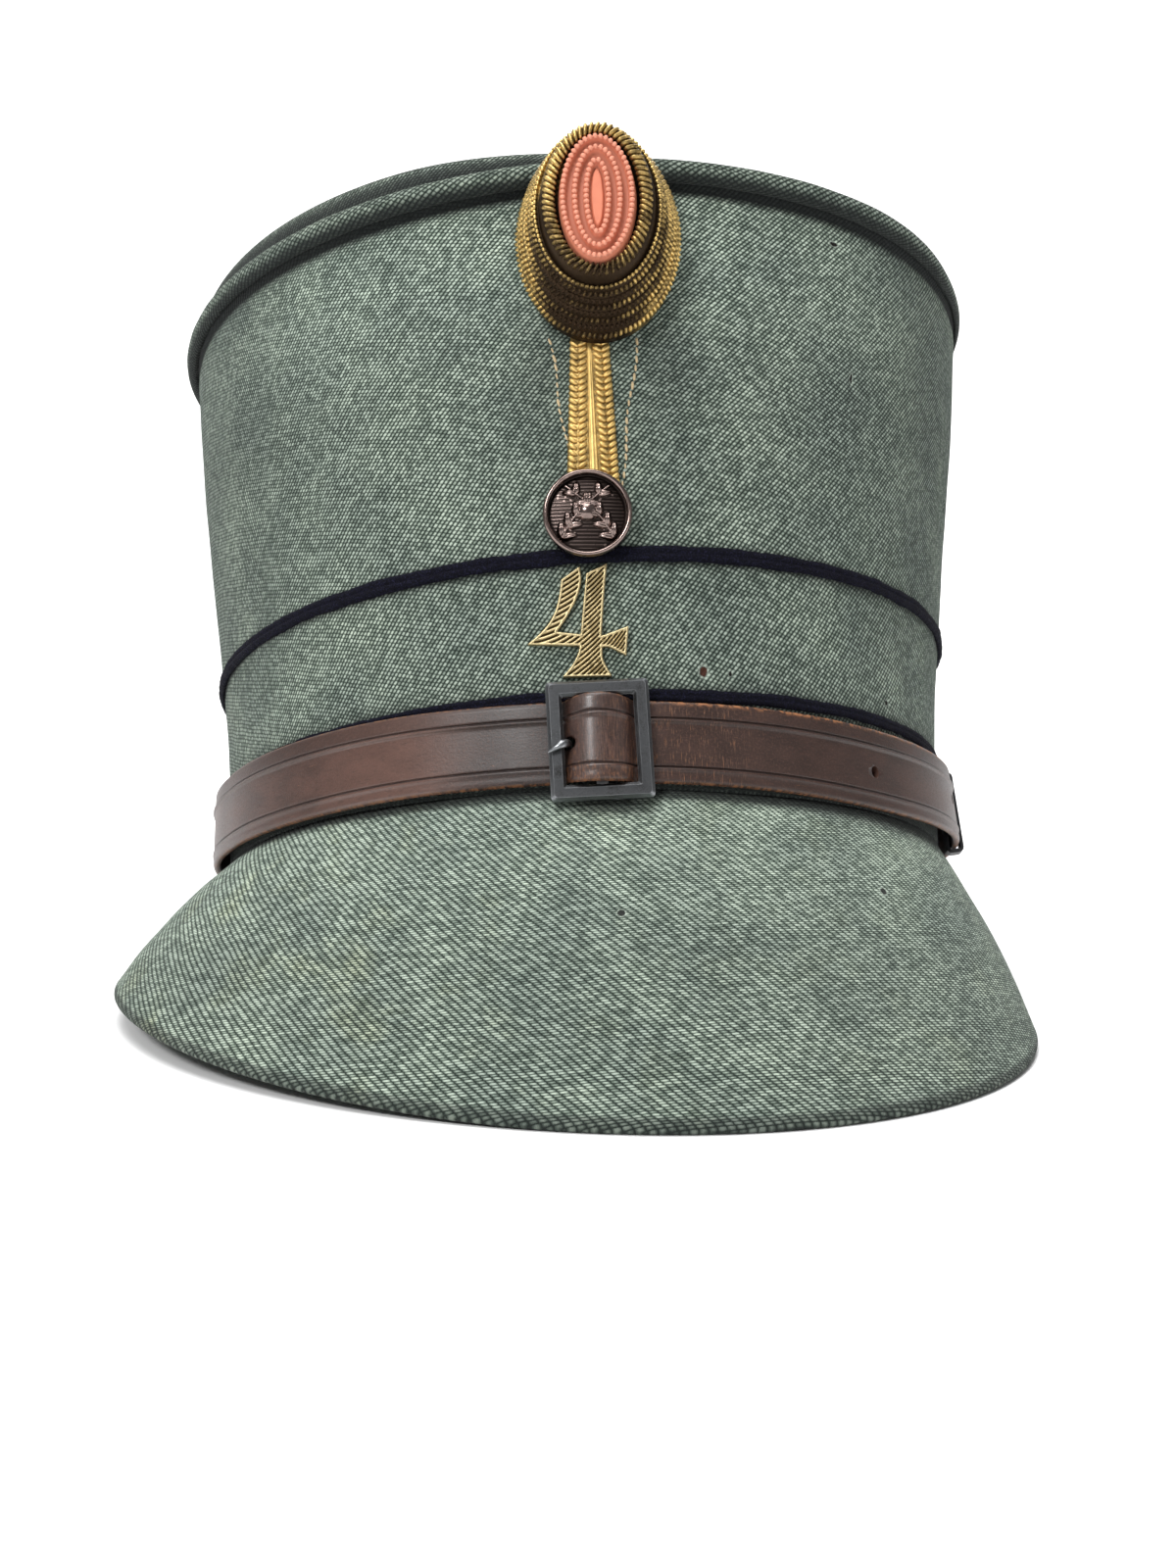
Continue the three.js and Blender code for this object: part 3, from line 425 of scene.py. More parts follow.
def strap_point(turn, across, depth):
    """Points of the strap: degrees round, share of its width up, share of its thickness out."""
    turn, across, depth = np.broadcast_arrays(*(np.asarray(v, float) for v in (turn, across, depth)))
    over_piping = GAP + LOWER_PIPING["thickness"] + GAP
    over_bar = BUCKLE_OUT + MIDDLE_BAR_THICKNESS + 3 * GAP
    station = {column: along(STRAP_STATIONS, "turn", column, turn)
               for column in ("stand_off", "tilt", "lift", "on_piping")}
    from_buckle = np.abs(crown_point(turn, BUCKLE_RISE)[..., 0] - BUCKLE_SHIFT)
    hump_end = BUCKLE_WIDTH / 2 - BUCKLE_BAR - WINDOW_INSET
    hump = np.clip(1 - (from_buckle / hump_end) ** 2, 0, 1) ** 0.7 * (np.abs(turn) < 90)
    near = STRAP_CLOSENESS + (over_piping - STRAP_CLOSENESS) * station["on_piping"]
    stand_off = np.maximum(station["stand_off"] * STRAP_STAND_OFF, near)
    inner = stand_off + (over_bar - stand_off) * hump
    tilt = np.radians(station["tilt"] * STRAP_TILT)
    from_middle = (across - 0.5) * STRAP_WIDTH * (1 + WINDOW_SWELL * hump**2) + WINDOW_RISE * hump**2
    lowered = STRAP_LOWER_EDGE * (1 - across) * smoothstep(np.abs(turn), 5, 50)
    from_middle = from_middle - lowered * smoothstep(120 - np.abs(turn), 0, 40)
    thick = depth * STRAP_THICKNESS
    out = inner - from_middle * np.sin(tilt) + thick * np.cos(tilt)
    point = crown_point(turn, 0, out)
    point[..., 2] = (BUCKLE_RISE + STRAP_LIFT * station["lift"] + from_middle * np.cos(tilt)
                     + thick * np.sin(tilt))
    return point


def ground_plane():
    """Slopes and base of the ground in the crown's own axes."""
    sideways = -math.tan(math.radians(REST_LEAN))
    slope = math.radians(PEAK_SLOPE_FRONT)
    drop = PEAK_LENGTH * math.sin(slope) + GAP
    reach = HEAD_HALF_LENGTH + GAP + PEAK_LENGTH * math.cos(slope)
    side = sideways * HEAD_HALF_WIDTH
    a = reach**2 - HEAD_HALF_LENGTH**2
    b = drop * reach
    pitch = (b - math.sqrt(b * b - a * (drop**2 - side**2))) / a
    return sideways, pitch, -math.hypot(side, pitch * HEAD_HALF_LENGTH)


SIDEWAYS, PITCH, GROUND_BASE = ground_plane()


def standing():
    """Turn and shift, in millimetres, from the crown's own axes to the frame."""
    up = Vector((-SIDEWAYS, -PITCH, 1)).normalized()
    turn = np.array(up.rotation_difference(Vector((0, 0, 1))).to_matrix())
    facets = 64
    turns = -180 + (np.arange(facets) + 0.5) * 360 / facets
    rises = np.array([row["height"] * CROWN_HEIGHT for row in CROWN_SECTIONS if row["height"] <= 1])
    sides = [crown_point(turns[:, None], rises, out).reshape(-1, 3) for out in (0, -CROWN_WALL)]
    wall = np.concatenate(sides)
    lowest, highest = (np.array(corner) * 1000 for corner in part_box("crown_wall"))
    turned = wall @ turn.T
    shift = (lowest + highest - turned.min(0) - turned.max(0)) / 2
    if np.abs(turned.min(0) + shift - lowest).max() > 0.1:
        raise RuntimeError("the crown's tables don't match the packed crown_wall")
    return turn, shift


STAND_TURN, STAND_SHIFT = standing()


def to_frame(points):
    """Millimetres in the crown's own axes to metres in the frame."""
    return (np.asarray(points, float) @ STAND_TURN.T + STAND_SHIFT) / 1000


def turn_to_frame(vectors):
    """Directions in the crown's own axes to directions in the frame."""
    return np.asarray(vectors, float) @ STAND_TURN.T


def lumps(turn, rise, size, seed):
    """Smooth unevenness from -1 to 1 over the crown, with lumps of a size in millimetres."""
    points = crown_point(turn, rise).reshape(-1, 3) / size + seed * 17.3
    return np.array([smooth_noise(Vector(p)) for p in points]).reshape(np.broadcast(turn, rise).shape)


# Meshes
def add_object(name, data):
    """A new object, linked to the scene."""
    made = bpy.data.objects.new(name, data)
    bpy.context.scene.collection.objects.link(made)
    return made


def new_piece(name, points, faces, material):
    """A mesh piece from points in the frame, in metres."""
    mesh = bpy.data.meshes.new(name)
    mesh.from_pydata(np.asarray(points).tolist(), [], [list(face) for face in faces])
    mesh.materials.append(material)
    return add_object(name, mesh)


def smoothed(piece):
    """The piece with all its faces smooth."""
    piece.data.polygons.foreach_set("use_smooth", [True] * len(piece.data.polygons))
    return piece


def paint(piece, name, values):
    """Gives every vertex a value that the shaders read."""
    attribute = piece.data.attributes.new(name, "FLOAT", "POINT")
    attribute.data.foreach_set("value", np.asarray(values, float).ravel())
    return piece


def face_out(piece, merge=0.0):
    """Merges doubles and turns a closed piece's faces outwards."""
    shape = bmesh.new()
    shape.from_mesh(piece.data)
    if merge:
        bmesh.ops.remove_doubles(shape, verts=shape.verts, dist=merge)
    if shape.calc_volume(signed=True) < 0:
        bmesh.ops.reverse_faces(shape, faces=shape.faces)
    shape.to_mesh(piece.data)
    shape.free()


def grid_piece(name, points, material, surface=None, close_rows=False, close_columns=False,
               cap_ends=False, merge=0.0, masks=None):
    """A mesh over a grid of points [row, column, xyz] in millimetres, in the crown's own axes.
    surface holds the places on the piece's own surface, one more row or column where it closes,
    and masks hold values for the shaders."""
    rows, columns = points.shape[:2]
    row_spans = rows if close_rows else rows - 1
    column_spans = columns if close_columns else columns - 1
    i, j = np.indices((row_spans, column_spans)).reshape(2, -1)
    corners = [(i, j), (i, j + 1), (i + 1, j + 1), (i + 1, j)]
    faces = np.stack([(a % rows) * columns + b % columns for a, b in corners], -1).tolist()
    quads = len(faces)
    if cap_ends:
        last = (rows - 1) * columns
        faces.append(list(range(columns))[::-1])
        faces.append(list(range(last, last + columns)))
    piece = new_piece(name, to_frame(points.reshape(-1, 3)), faces, material)
    if surface is not None:
        layer = piece.data.uv_layers.new(name="surface")
        flat = np.zeros((len(piece.data.loops), 2))
        flat[:quads * 4] = np.stack([surface[a, b] for a, b in corners], 1).reshape(-1, 2) / 1000
        layer.data.foreach_set("uv", flat.ravel())
    for key, values in (masks or {}).items():
        paint(piece, key, np.broadcast_to(values, (rows, columns)))
    face_out(smoothed(piece), merge)
    return piece


def arc_lengths(points):
    """Running length along the first axis of a run of points."""
    steps = np.linalg.norm(np.diff(points, axis=0), axis=-1)
    return np.concatenate([[0], np.cumsum(steps)])


def closed(values):
    """The same turns with the first repeated a whole turn on."""
    return np.concatenate([values, [values[0] + 360]])


def all_round(count):
    """Even angles round a whole turn, in radians."""
    return np.radians(np.linspace(0, 360, count + 1)[:-1])


def spread(u, v):
    """Places on a piece's own surface from its runs along and across."""
    return np.stack(np.broadcast_arrays(u, v), -1)


def settle(piece, replaced=()):
    """Says what a finished piece rides on and the solids that it replaces."""
    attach(piece, "root")
    if replaced:
        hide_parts(*replaced)
    return piece


def sharpened(piece, angle):
    """Smooth faces with sharp edges kept where they meet at more than an angle."""
    smoothed(piece).data.set_sharp_from_angle(angle=math.radians(angle))
    return piece


# Repeats with Geometry Nodes
def repeat_tree():
    """Sets a unit at equal steps along every path of a guide: its X lies along the path, turned
    by the slant, and its Z points the way the guide's outward attribute does."""
    if "repeat_along" in bpy.data.node_groups:
        return bpy.data.node_groups["repeat_along"]
    tree = bpy.data.node_groups.new("repeat_along", "GeometryNodeTree")
    face = tree.interface
    face.new_socket("Geometry", in_out="INPUT", socket_type="NodeSocketGeometry")
    for name, kind in (("Unit", "NodeSocketObject"), ("Material", "NodeSocketMaterial"),
                       ("Pitch", "NodeSocketFloat"), ("Slant", "NodeSocketFloat"),
                       ("Size", "NodeSocketVector"), ("Unevenness", "NodeSocketFloat"),
                       ("Seed", "NodeSocketInt")):
        face.new_socket(name, in_out="INPUT", socket_type=kind)
    face.new_socket("Geometry", in_out="OUTPUT", socket_type="NodeSocketGeometry")

    def add(kind, settings=None, sockets=None):
        node = tree.nodes.new(kind)
        for key, value in (settings or {}).items():
            setattr(node, key, value)
        for key, value in (sockets or {}).items():
            if isinstance(value, bpy.types.NodeSocket):
                tree.links.new(value, node.inputs[key])
            else:
                node.inputs[key].default_value = value
        return node

    source = add("NodeGroupInput").outputs
    curve = add("GeometryNodeMeshToCurve", None, {0: source["Geometry"]})
    even = add("GeometryNodeResampleCurve", {"mode": "LENGTH"},
               {"Curve": curve.outputs[0], "Length": source["Pitch"]})
    outward = add("GeometryNodeInputNamedAttribute", {"data_type": "FLOAT_VECTOR"}, {"Name": "outward"})
    tangent = add("GeometryNodeInputTangent")
    upright = add("FunctionNodeAxesToRotation", {"primary_axis": "Z", "secondary_axis": "X"},
                  {0: outward.outputs[0], 1: tangent.outputs[0]})
    slant = add("ShaderNodeCombineXYZ", None, {2: source["Slant"]})
    slanted = add("FunctionNodeRotateRotation", {"rotation_space": "LOCAL"},
                  {0: upright.outputs[0], 1: slant.outputs[0]})
    chance = add("FunctionNodeRandomValue", {"data_type": "FLOAT"},
                 {2: -1.0, 3: 1.0, "Seed": source["Seed"]})
    swell = add("ShaderNodeMath", {"operation": "MULTIPLY_ADD"},
                {0: chance.outputs[1], 1: source["Unevenness"], 2: 1.0})
    scale = add("ShaderNodeVectorMath", {"operation": "SCALE"},
                {0: source["Size"], "Scale": swell.outputs[0]})
    unit = add("GeometryNodeObjectInfo", {"transform_space": "ORIGINAL"}, {"Object": source["Unit"]})
    placed = add("GeometryNodeInstanceOnPoints", None,
                 {"Points": even.outputs[0], "Instance": unit.outputs["Geometry"],
                  "Rotation": slanted.outputs[0], "Scale": scale.outputs[0]})
    real = add("GeometryNodeRealizeInstances", None, {0: placed.outputs[0]})
    finish = add("GeometryNodeSetMaterial", None,
                 {"Geometry": real.outputs[0], "Material": source["Material"]})
    tree.links.new(finish.outputs[0], add("NodeGroupOutput").inputs[0])
    return tree


def guide_mesh(name, paths):
    """Paths of (points in metres, outward directions, whether it closes) as one mesh of edges."""
    points, edges, outwards = [], [], []
    for path, outward, is_closed in paths:
        start = len(points)
        points.extend(path.tolist())
        outwards.extend(np.broadcast_to(outward, path.shape).tolist())
        edges.extend((start + k, start + k + 1) for k in range(len(path) - 1))
        if is_closed:
            edges.append((start + len(path) - 1, start))
    mesh = bpy.data.meshes.new(name)
    mesh.from_pydata(points, edges, [])
    attribute = mesh.attributes.new("outward", "FLOAT_VECTOR", "POINT")
    attribute.data.foreach_set("vector", np.array(outwards, float).ravel())
    return add_object(name, mesh)


def repeated(name, paths, unit, material, pitch, size, slant=0.0, unevenness=0.0, seed=1):
    """Units along paths, as a plain mesh piece. Sizes in millimetres, the slant in degrees."""
    guide = guide_mesh(name + "_guide", paths)
    tree = repeat_tree()
    modifier = guide.modifiers.new("repeat", "NODES")
    modifier.node_group = tree
    inputs = {"Unit": unit, "Material": material, "Pitch": pitch / 1000, "Slant": math.radians(slant),
              "Size": tuple(v / 1000 for v in size), "Unevenness": unevenness, "Seed": seed}
    for item in tree.interface.items_tree:
        if item.item_type == "SOCKET" and item.in_out == "INPUT" and item.name in inputs:
            modifier[item.identifier] = inputs[item.name]
    graph = bpy.context.evaluated_depsgraph_get()
    mesh = bpy.data.meshes.new_from_object(guide.evaluated_get(graph))
    mesh.name = name
    bpy.data.objects.remove(guide)
    if not mesh.polygons:
        raise RuntimeError(f"{name} came out empty")
    return smoothed(add_object(name, mesh))


def joined(name, pieces):
    """Several plain mesh pieces as one."""
    shape = bmesh.new()
    materials = []
    for piece in pieces:
        start = len(shape.faces)
        shape.from_mesh(piece.data)
        shape.faces.ensure_lookup_table()
        own = list(piece.data.materials)
        for face in shape.faces[start:]:
            material = own[face.material_index]
            if material not in materials:
                materials.append(material)
            face.material_index = materials.index(material)
        bpy.data.objects.remove(piece)
    mesh = bpy.data.meshes.new(name)
    shape.to_mesh(mesh)
    shape.free()
    for material in materials:
        mesh.materials.append(material)
    return add_object(name, mesh)


def unit_strand(name, across, lengthwise, blunt):
    """A strand one unit long in X and one across, rounded at its ends."""
    shape = bmesh.new()
    bmesh.ops.create_uvsphere(shape, u_segments=across, v_segments=lengthwise, radius=0.5)
    for vert in shape.verts:
        x, y, z = vert.co
        reach = z / 0.5
        vert.co = (0.5 * math.copysign(abs(reach) ** blunt, reach), x, y)
    mesh = bpy.data.meshes.new(name)
    shape.to_mesh(mesh)
    shape.free()
    unit = add_object(name, mesh)
    unit.hide_render = True
    return unit


# Materials
def colours():
    return bpy.context.scene.kepi_colours


def sizes():
    return bpy.context.scene.kepi_sizes


def toned(colour, gain=1.0):
    """A colour with a gain, no channel above 1."""
    return tuple(min(1.0, gain * channel) for channel in colour)


def with_hole(shader, spot, hole, colour, depth):
    """Colour and relief of cloth with a ragged hole in it, paler round its edge."""
    u, v, _ = shader.parts(spot)
    ragged = (shader.noise(spot, 0.7, 3, 0.7) - 0.5) * 0.9
    reach = (((u - hole["u"]) / (hole["width"] / 2)) ** 2.0
             + ((v - hole["v"]) / (hole["height"] / 2)) ** 2.0) ** 0.5 + ragged
    inside = 1 - reach.between(0.75, 1.05)
    halo = 1 - reach.between(0.9, 1.7)
    colour = shader.mix(halo * 0.4, colour, toned(colours().cloth_light))
    colour = shader.mix(inside, colour, hole.get("colour", (0.008, 0.007, 0.006)))
    return colour, depth - inside * 2.0


def twill(name, angle, row_pitch, length, shift, light=1.0, holes=(), yellowing=0.0, weights=(0.9, 0.35),
          paler=None):
    """Wool twill: rows of short floats at an angle, each row shifted so that they form ribs.
    Some floats are paler, and soft blotches lie over them. Lengths in millimetres. Weights round
    the floats across and along, and paler holds two heights and the gain of painted light above them."""
    shader = Shader(name)
    tint = colours()
    spot = shader.surface()
    u, v, _ = shader.parts(spot)
    angle = math.radians(angle)
    sway = (shader.noise(spot, 16, 2) - 0.5) * 0.8
    rows = (v * math.cos(angle) - u * math.sin(angle) + sway) / row_pitch
    row = rows.floor()
    across = rows.fraction()
    cells = (u * math.cos(angle) + v * math.sin(angle) + (row + across * 0.6) * shift + sway) / length
    lift = (across * math.pi).sine() ** weights[0] * (cells.fraction() * math.pi).sine() ** weights[1]
    chance = shader.chance(row, cells.floor())
    hairs = shader.noise(spot, 0.3, 3, 0.65)
    patches = shader.noise(spot, 3.4, 3, 0.6)
    clouds = shader.noise(spot, 24, 4, 0.6)
    tone = lift * 1.15 + (hairs - 0.5) * 0.85 + (chance - 0.5) * 0.38 + (patches - 0.5) * 0.14 - 0.12
    colour = shader.mix(tone.between(0.05, 0.9), toned(tint.cloth_dark), toned(tint.cloth))
    fleck = (lift * 0.6 + hairs * 0.45 + chance * 0.25 + (patches - 0.5) * 0.25).between(0.72, 1.05)
    colour = shader.mix(fleck * 0.7, colour, toned(tint.cloth_light))
    dull = shader.times(colour, (light * 0.76, light * 0.78, light * 0.79))
    fresh = shader.times(colour, (light * 1.2, light * 1.2, light * 1.16))
    colour = shader.mix((clouds - 0.5).between(-0.2, 0.25), dull, fresh)
    if yellowing:
        stain = shader.noise(spot, 17, 4, 0.6).between(0.5, 0.72) * yellowing
        stain = stain * (0.35 + 0.65 * (u * -0.02 + 0.2).between(0.0, 1.0))
        colour = shader.mix(stain, colour, shader.times(colour, (1.4, 1.22, 0.68)))
    depth = lift * 0.8 + hairs * 0.4
    for hole in holes:
        colour, depth = with_hole(shader, spot, hole, colour, depth)
    # The band above two heights, made lighter by a gain, is painted light.
    if paler:
        low, high, gain = paler
        colour = shader.mix(v.between(low, high), colour, shader.times(colour, (gain, gain, gain)))
    # Painted shade: the attribute read here darkens the colour towards near black in seams, grooves and
    # under other parts.
    painted_shade = shader.attribute("painted_shade")
    colour = shader.mix(painted_shade, colour, (0.012, 0.014, 0.014))
    normal = shader.bump(depth, 0.3, 0.9)
    return shader.surfaced(colour, 0.92, normal, Sheen_Weight=0.03, Sheen_Roughness=0.5,
                           Specular_IOR_Level=0.15)


def crown_twill(name, angle, light=1.0, holes=(), paler=None):
    """The twill of the crown at an angle and a lightness; a lightness below 1 paints shade."""
    pitch = sizes().rib_pitch * 1000
    return twill(name, angle, pitch, pitch * 1.05, pitch * 0.45, light * 0.96, holes, paler=paler)


def navy_cord():
    """Dark, fuzzy cloth of the pipings with a little lint on it."""
    shader = Shader("navy_cord")
    place = shader.place()
    fuzz = shader.noise(place, 0.35, 3, 0.7)
    lint = shader.noise(place, 1.1, 3, 0.7).between(0.68, 0.8)
    colour = shader.mix(fuzz.between(0.45, 0.8), toned(colours().navy), toned(colours().navy, 11.0))
    colour = shader.mix(lint * 0.2, colour, toned(colours().cloth))
    return shader.surfaced(colour, 0.9, shader.bump(fuzz, 0.5, 1.0), Specular_IOR_Level=0.12)


def leather():
    """Brown leather, rubbed orange along its edges, scratched and finely grained."""
    shader = Shader("brown_leather")
    tint = colours()
    spot = shader.surface()
    u, v, _ = shader.parts(spot)
    grain = shader.noise(spot, 0.5, 3, 0.6)
    clouds = shader.noise(shader.vector(u / 2.2, v), 4.5, 3, 0.55)
    colour = shader.mix(clouds.between(0.3, 0.7), toned(tint.leather, 0.6),
                        toned(tint.leather, 1.05))
    # Darker right of the buckle and in a near-black stretch left of it; the band along the top edge is
    # painted shade where the strap curves away.
    darker = u.between(4, 16) * (1 - u.between(60, 100)) * 0.5
    darker = darker.most((v / STRAP_WIDTH).between(0.78, 0.82) * 0.4)
    darker = darker.most(u.between(-38, -20) * (1 - u.between(-8, -4)) * 0.95)
    # smooth marks a glossier stretch of the strap; its lighter colour there is a painted highlight.
    smooth = u.between(-72, -52) * (1 - u.between(-38, -24))
    colour = shader.mix(smooth * 0.35, colour, toned(tint.leather, 2.2))
    colour = shader.mix(darker, colour, toned(tint.leather, 0.2))
    colour = shader.mix((grain - 0.5).between(-0.05, 0.25) * 0.3, colour, toned(tint.leather, 2.2))
    streaks = shader.noise(shader.vector(u * 0.45, v * 1.7), 0.8, 4, 0.7)
    colour = shader.mix(streaks.between(0.5, 0.72) * 0.5, colour, toned(tint.leather, 0.3))
    bulge = shader.attribute("bulge")
    wear = shader.attribute("wear")
    upright = shader.noise(shader.vector(u * 2.2, v * 0.7), 1.1, 4, 0.7)
    level = shader.noise(shader.vector(u * 0.3, v * 3.0), 1.6, 4, 0.65)
    from_chafed = (u - 18).absolute()
    hairline = shader.noise(shader.vector(u * 5.0, v * 0.3), 1.0, 3, 0.6)
    scratches = hairline.between(0.58, 0.7) * (1 - from_chafed.between(6.0, 22.0)) * 0.6
    scratches = scratches.most(level.between(0.66, 0.74) * 0.3)
    colour = shader.mix(bulge * (0.5 - hairline).between(-0.04, 0.1) * 0.7, colour,
                        toned(tint.leather, 0.25))
    low_end = 1 - (v / STRAP_WIDTH).between(0.0, 0.42)
    rubbed = bulge * (upright.between(0.52, 0.7) * 0.12 + low_end * upright.between(0.46, 0.66) * 0.28)
    rubbed = rubbed.most(wear * shader.noise(spot, 1.3, 3, 0.7).between(0.42, 0.6))
    colour = shader.mix(rubbed.most(scratches), colour, toned(tint.leather_worn))
    groove = shader.attribute("groove")
    colour = shader.mix(groove * 0.85, colour, toned(tint.leather, 0.22))
    roughness = 0.25 + grain * 0.24 + streaks * 0.16 + rubbed * 0.25 + (clouds - 0.5) * 0.12
    normal = shader.bump(grain * 0.8 + upright * bulge * 0.5 - scratches - streaks * 0.7, 0.11, 0.7)
    coat = 0.1 + smooth * 0.5 + bulge * 0.25
    return shader.surfaced(colour, roughness, normal, Specular_IOR_Level=0.38, Coat_Weight=coat,
                           Coat_Roughness=0.22)


def worn_metal(name, colour, roughness, grime, grime_share=0.4, metallic=1.0, relief=0.03, size=1.0,
               hollows=False, edge_wear_and_highlight_gain=1.5):
    """Metal with cloudy grime, fine scratches and brighter high places, rubbed and with a painted
    highlight. Grime also lies where the hollow attribute says."""
    shader = Shader(name)
    place = shader.place()
    clouds = shader.noise(place, 3.0 * size, 4, 0.6)
    fine = shader.noise(place, 0.3 * size, 3, 0.65)
    edge = shader.node("ShaderNodeNewGeometry", output=7)
    high = edge.between(0.5, 0.56)
    dirt = (clouds * 0.7 + fine * 0.3).between(0.62 - grime_share * 0.4, 0.85 - grime_share * 0.4)
    if hollows:
        dirt = dirt.most(shader.attribute("hollow").between(0.15, 0.8) * 0.92)
    shown = shader.mix(dirt * (1 - high * 0.6), colour, grime)
    # High places lighter: rubbed wear and a painted highlight, strong on the buckle's bevels.
    shown = shader.mix(high * 0.7, shown, toned(colour, edge_wear_and_highlight_gain))
    normal = shader.bump(fine + clouds * 0.4, relief, 0.6)
    return shader.surfaced(shown, roughness + fine * 0.15 + dirt * 0.15, normal, Metallic=metallic)


def tarnished_gilt(name, share=0.0, roughness=0.28):
    """Gilt wire dulled where its attribute says, which holds tarnishing with painted shade and light, and a
    share more everywhere.
    """
    shader = Shader(name)
    tint = colours()
    place = shader.place()
    fine = shader.noise(place, 0.4, 3, 0.65)
    clouds = shader.noise(place, 3.0, 4, 0.6)
    amount = shader.attribute("tarnish_and_shade") + share
    specks = shader.noise(place, 1.1, 3, 0.7)
    mask = ((clouds - 0.5) * 0.7 + (fine - 0.5) * 0.8 + (specks - 0.5) * 1.1 + amount).between(-0.05, 1.0)
    pale = shader.mix(clouds.between(0.35, 0.65), toned(tint.gilt), toned(tint.gilt, 0.8))
    colour = shader.mix(mask, pale, toned(tint.tarnish_and_shade))
    normal = shader.bump(fine, 0.06, 0.8)
    return shader.surfaced(colour, roughness + fine * 0.14 + mask * 0.18, normal, Metallic=0.9)


def orange_centre():
    """Matt orange, darker in its grooves and paler on its ridges."""
    shader = Shader("orange_centre")
    tint = colours()
    place = shader.place()
    fine = shader.noise(place, 0.35, 3, 0.65)
    clouds = shader.noise(place, 2.6, 3, 0.6)
    relief = shader.attribute("relief")
    colour = shader.mix(clouds, toned(tint.orange, 0.85), toned(tint.orange, 1.12))
    colour = shader.mix((1 - relief.between(0.0, 0.45)) * 0.6, colour, toned(tint.orange, 0.45))
    colour = shader.mix(relief.between(0.68, 1.05) * 0.6, colour, (0.78, 0.42, 0.31))
    return shader.surfaced(colour, 0.5 + fine * 0.15, shader.bump(fine, 0.04, 0.6), Specular_IOR_Level=0.4)


def olive_thread():
    """Loose thread, lighter and darker along its run."""
    shader = Shader("olive_thread")
    thread = colours().thread
    fine = shader.noise(shader.place(), 0.2, 2, 0.6)
    shown = shader.mix(fine, toned(thread, 0.5), toned(thread, 1.6))
    return shader.surfaced(shown, 0.7, shader.bump(fine, 0.06, 0.7), Sheen_Weight=0.2)


# Pieces
def crown_columns():
    """Turns of the fine crown: close together over the front half."""
    front = np.linspace(-100, 100, 321)
    back = np.linspace(100, 260, 112)[1:-1]
    return np.concatenate([front, back])


def wrapped(turn):
    """Turns brought between -180 and 180 degrees."""
    return (np.asarray(turn, float) + 180) % 360 - 180


def cloth_run(turn):
    """Run along the crown's cloth from its front to a turn, in millimetres."""
    turns = np.linspace(-180, 260, 881)
    lengths = arc_lengths(crown_point(wrapped(turns), CROWN_HEIGHT / 2))
    return np.interp(turn, turns, lengths) - np.interp(0, turns, lengths)


def hole_spots():
    """The moth holes with their places on the crown's cloth."""
    return [{**hole, "u": float(cloth_run(hole["turn"])), "v": float(hole["rise"])} for hole in MOTH_HOLES]


def pit_depth(turn, rise):
    """How far the cloth dips into its moth holes."""
    depth = 0 * (turn + rise)
    for hole in MOTH_HOLES:
        across = np.radians(turn - hole["turn"]) * HEAD_HALF_WIDTH / (hole["width"] * 0.6)
        up = (rise - hole["rise"]) / (hole["height"] * 0.6)
        depth = depth + 0.9 * np.exp(-(across**2 + up**2))
    return depth


def seam_shade(rises, outer):
    """Painted shade under the welt, along the pipings, behind the strap and on the hem's bend."""
    shade = 0.98 * smoothstep(rises, 133.3, 134.1)
    for piping in (UPPER_PIPING, LOWER_PIPING):
        shade = np.maximum(shade, 0.75 * (1 - smoothstep(np.abs(rises - piping["rise"] + 0.3), 1.2, 3.2)))
    shade = np.maximum(shade, 0.85 * (1 - smoothstep(rises, 14, 18.5)))
    shade[outer:] = 0.92 * (rises[outer:] < CROWN_WALL)
    return shade


def soft_shade(turn, rises):
    """Soft shade beside the loop, at both sides of the crown and above the strap."""
    across = np.radians(turn) * HEAD_HALF_WIDTH
    beside_loop = [(-9, 5.5, 90, 14, 0.34), (15, 5, 92, 12, 0.3), (14, 4, 54, 7, 0.22),
                   (-10, 4, 50, 6, 0.25)]
    side = smoothstep(np.abs(turn), 32, 56) * smoothstep(rises, 28, 52)
    shade = side * (0.2 + 0.16 * smoothstep(rises, 78, 108))
    for middle, width, rise, height, amount in beside_loop:
        spot = amount * np.exp(-((across - middle) / width) ** 2 - ((rises - rise) / height) ** 2)
        shade = np.maximum(shade, spot * (np.abs(turn) < 90))
    return np.maximum(shade, 0.3 * (1 - smoothstep(rises, 19, 27)))


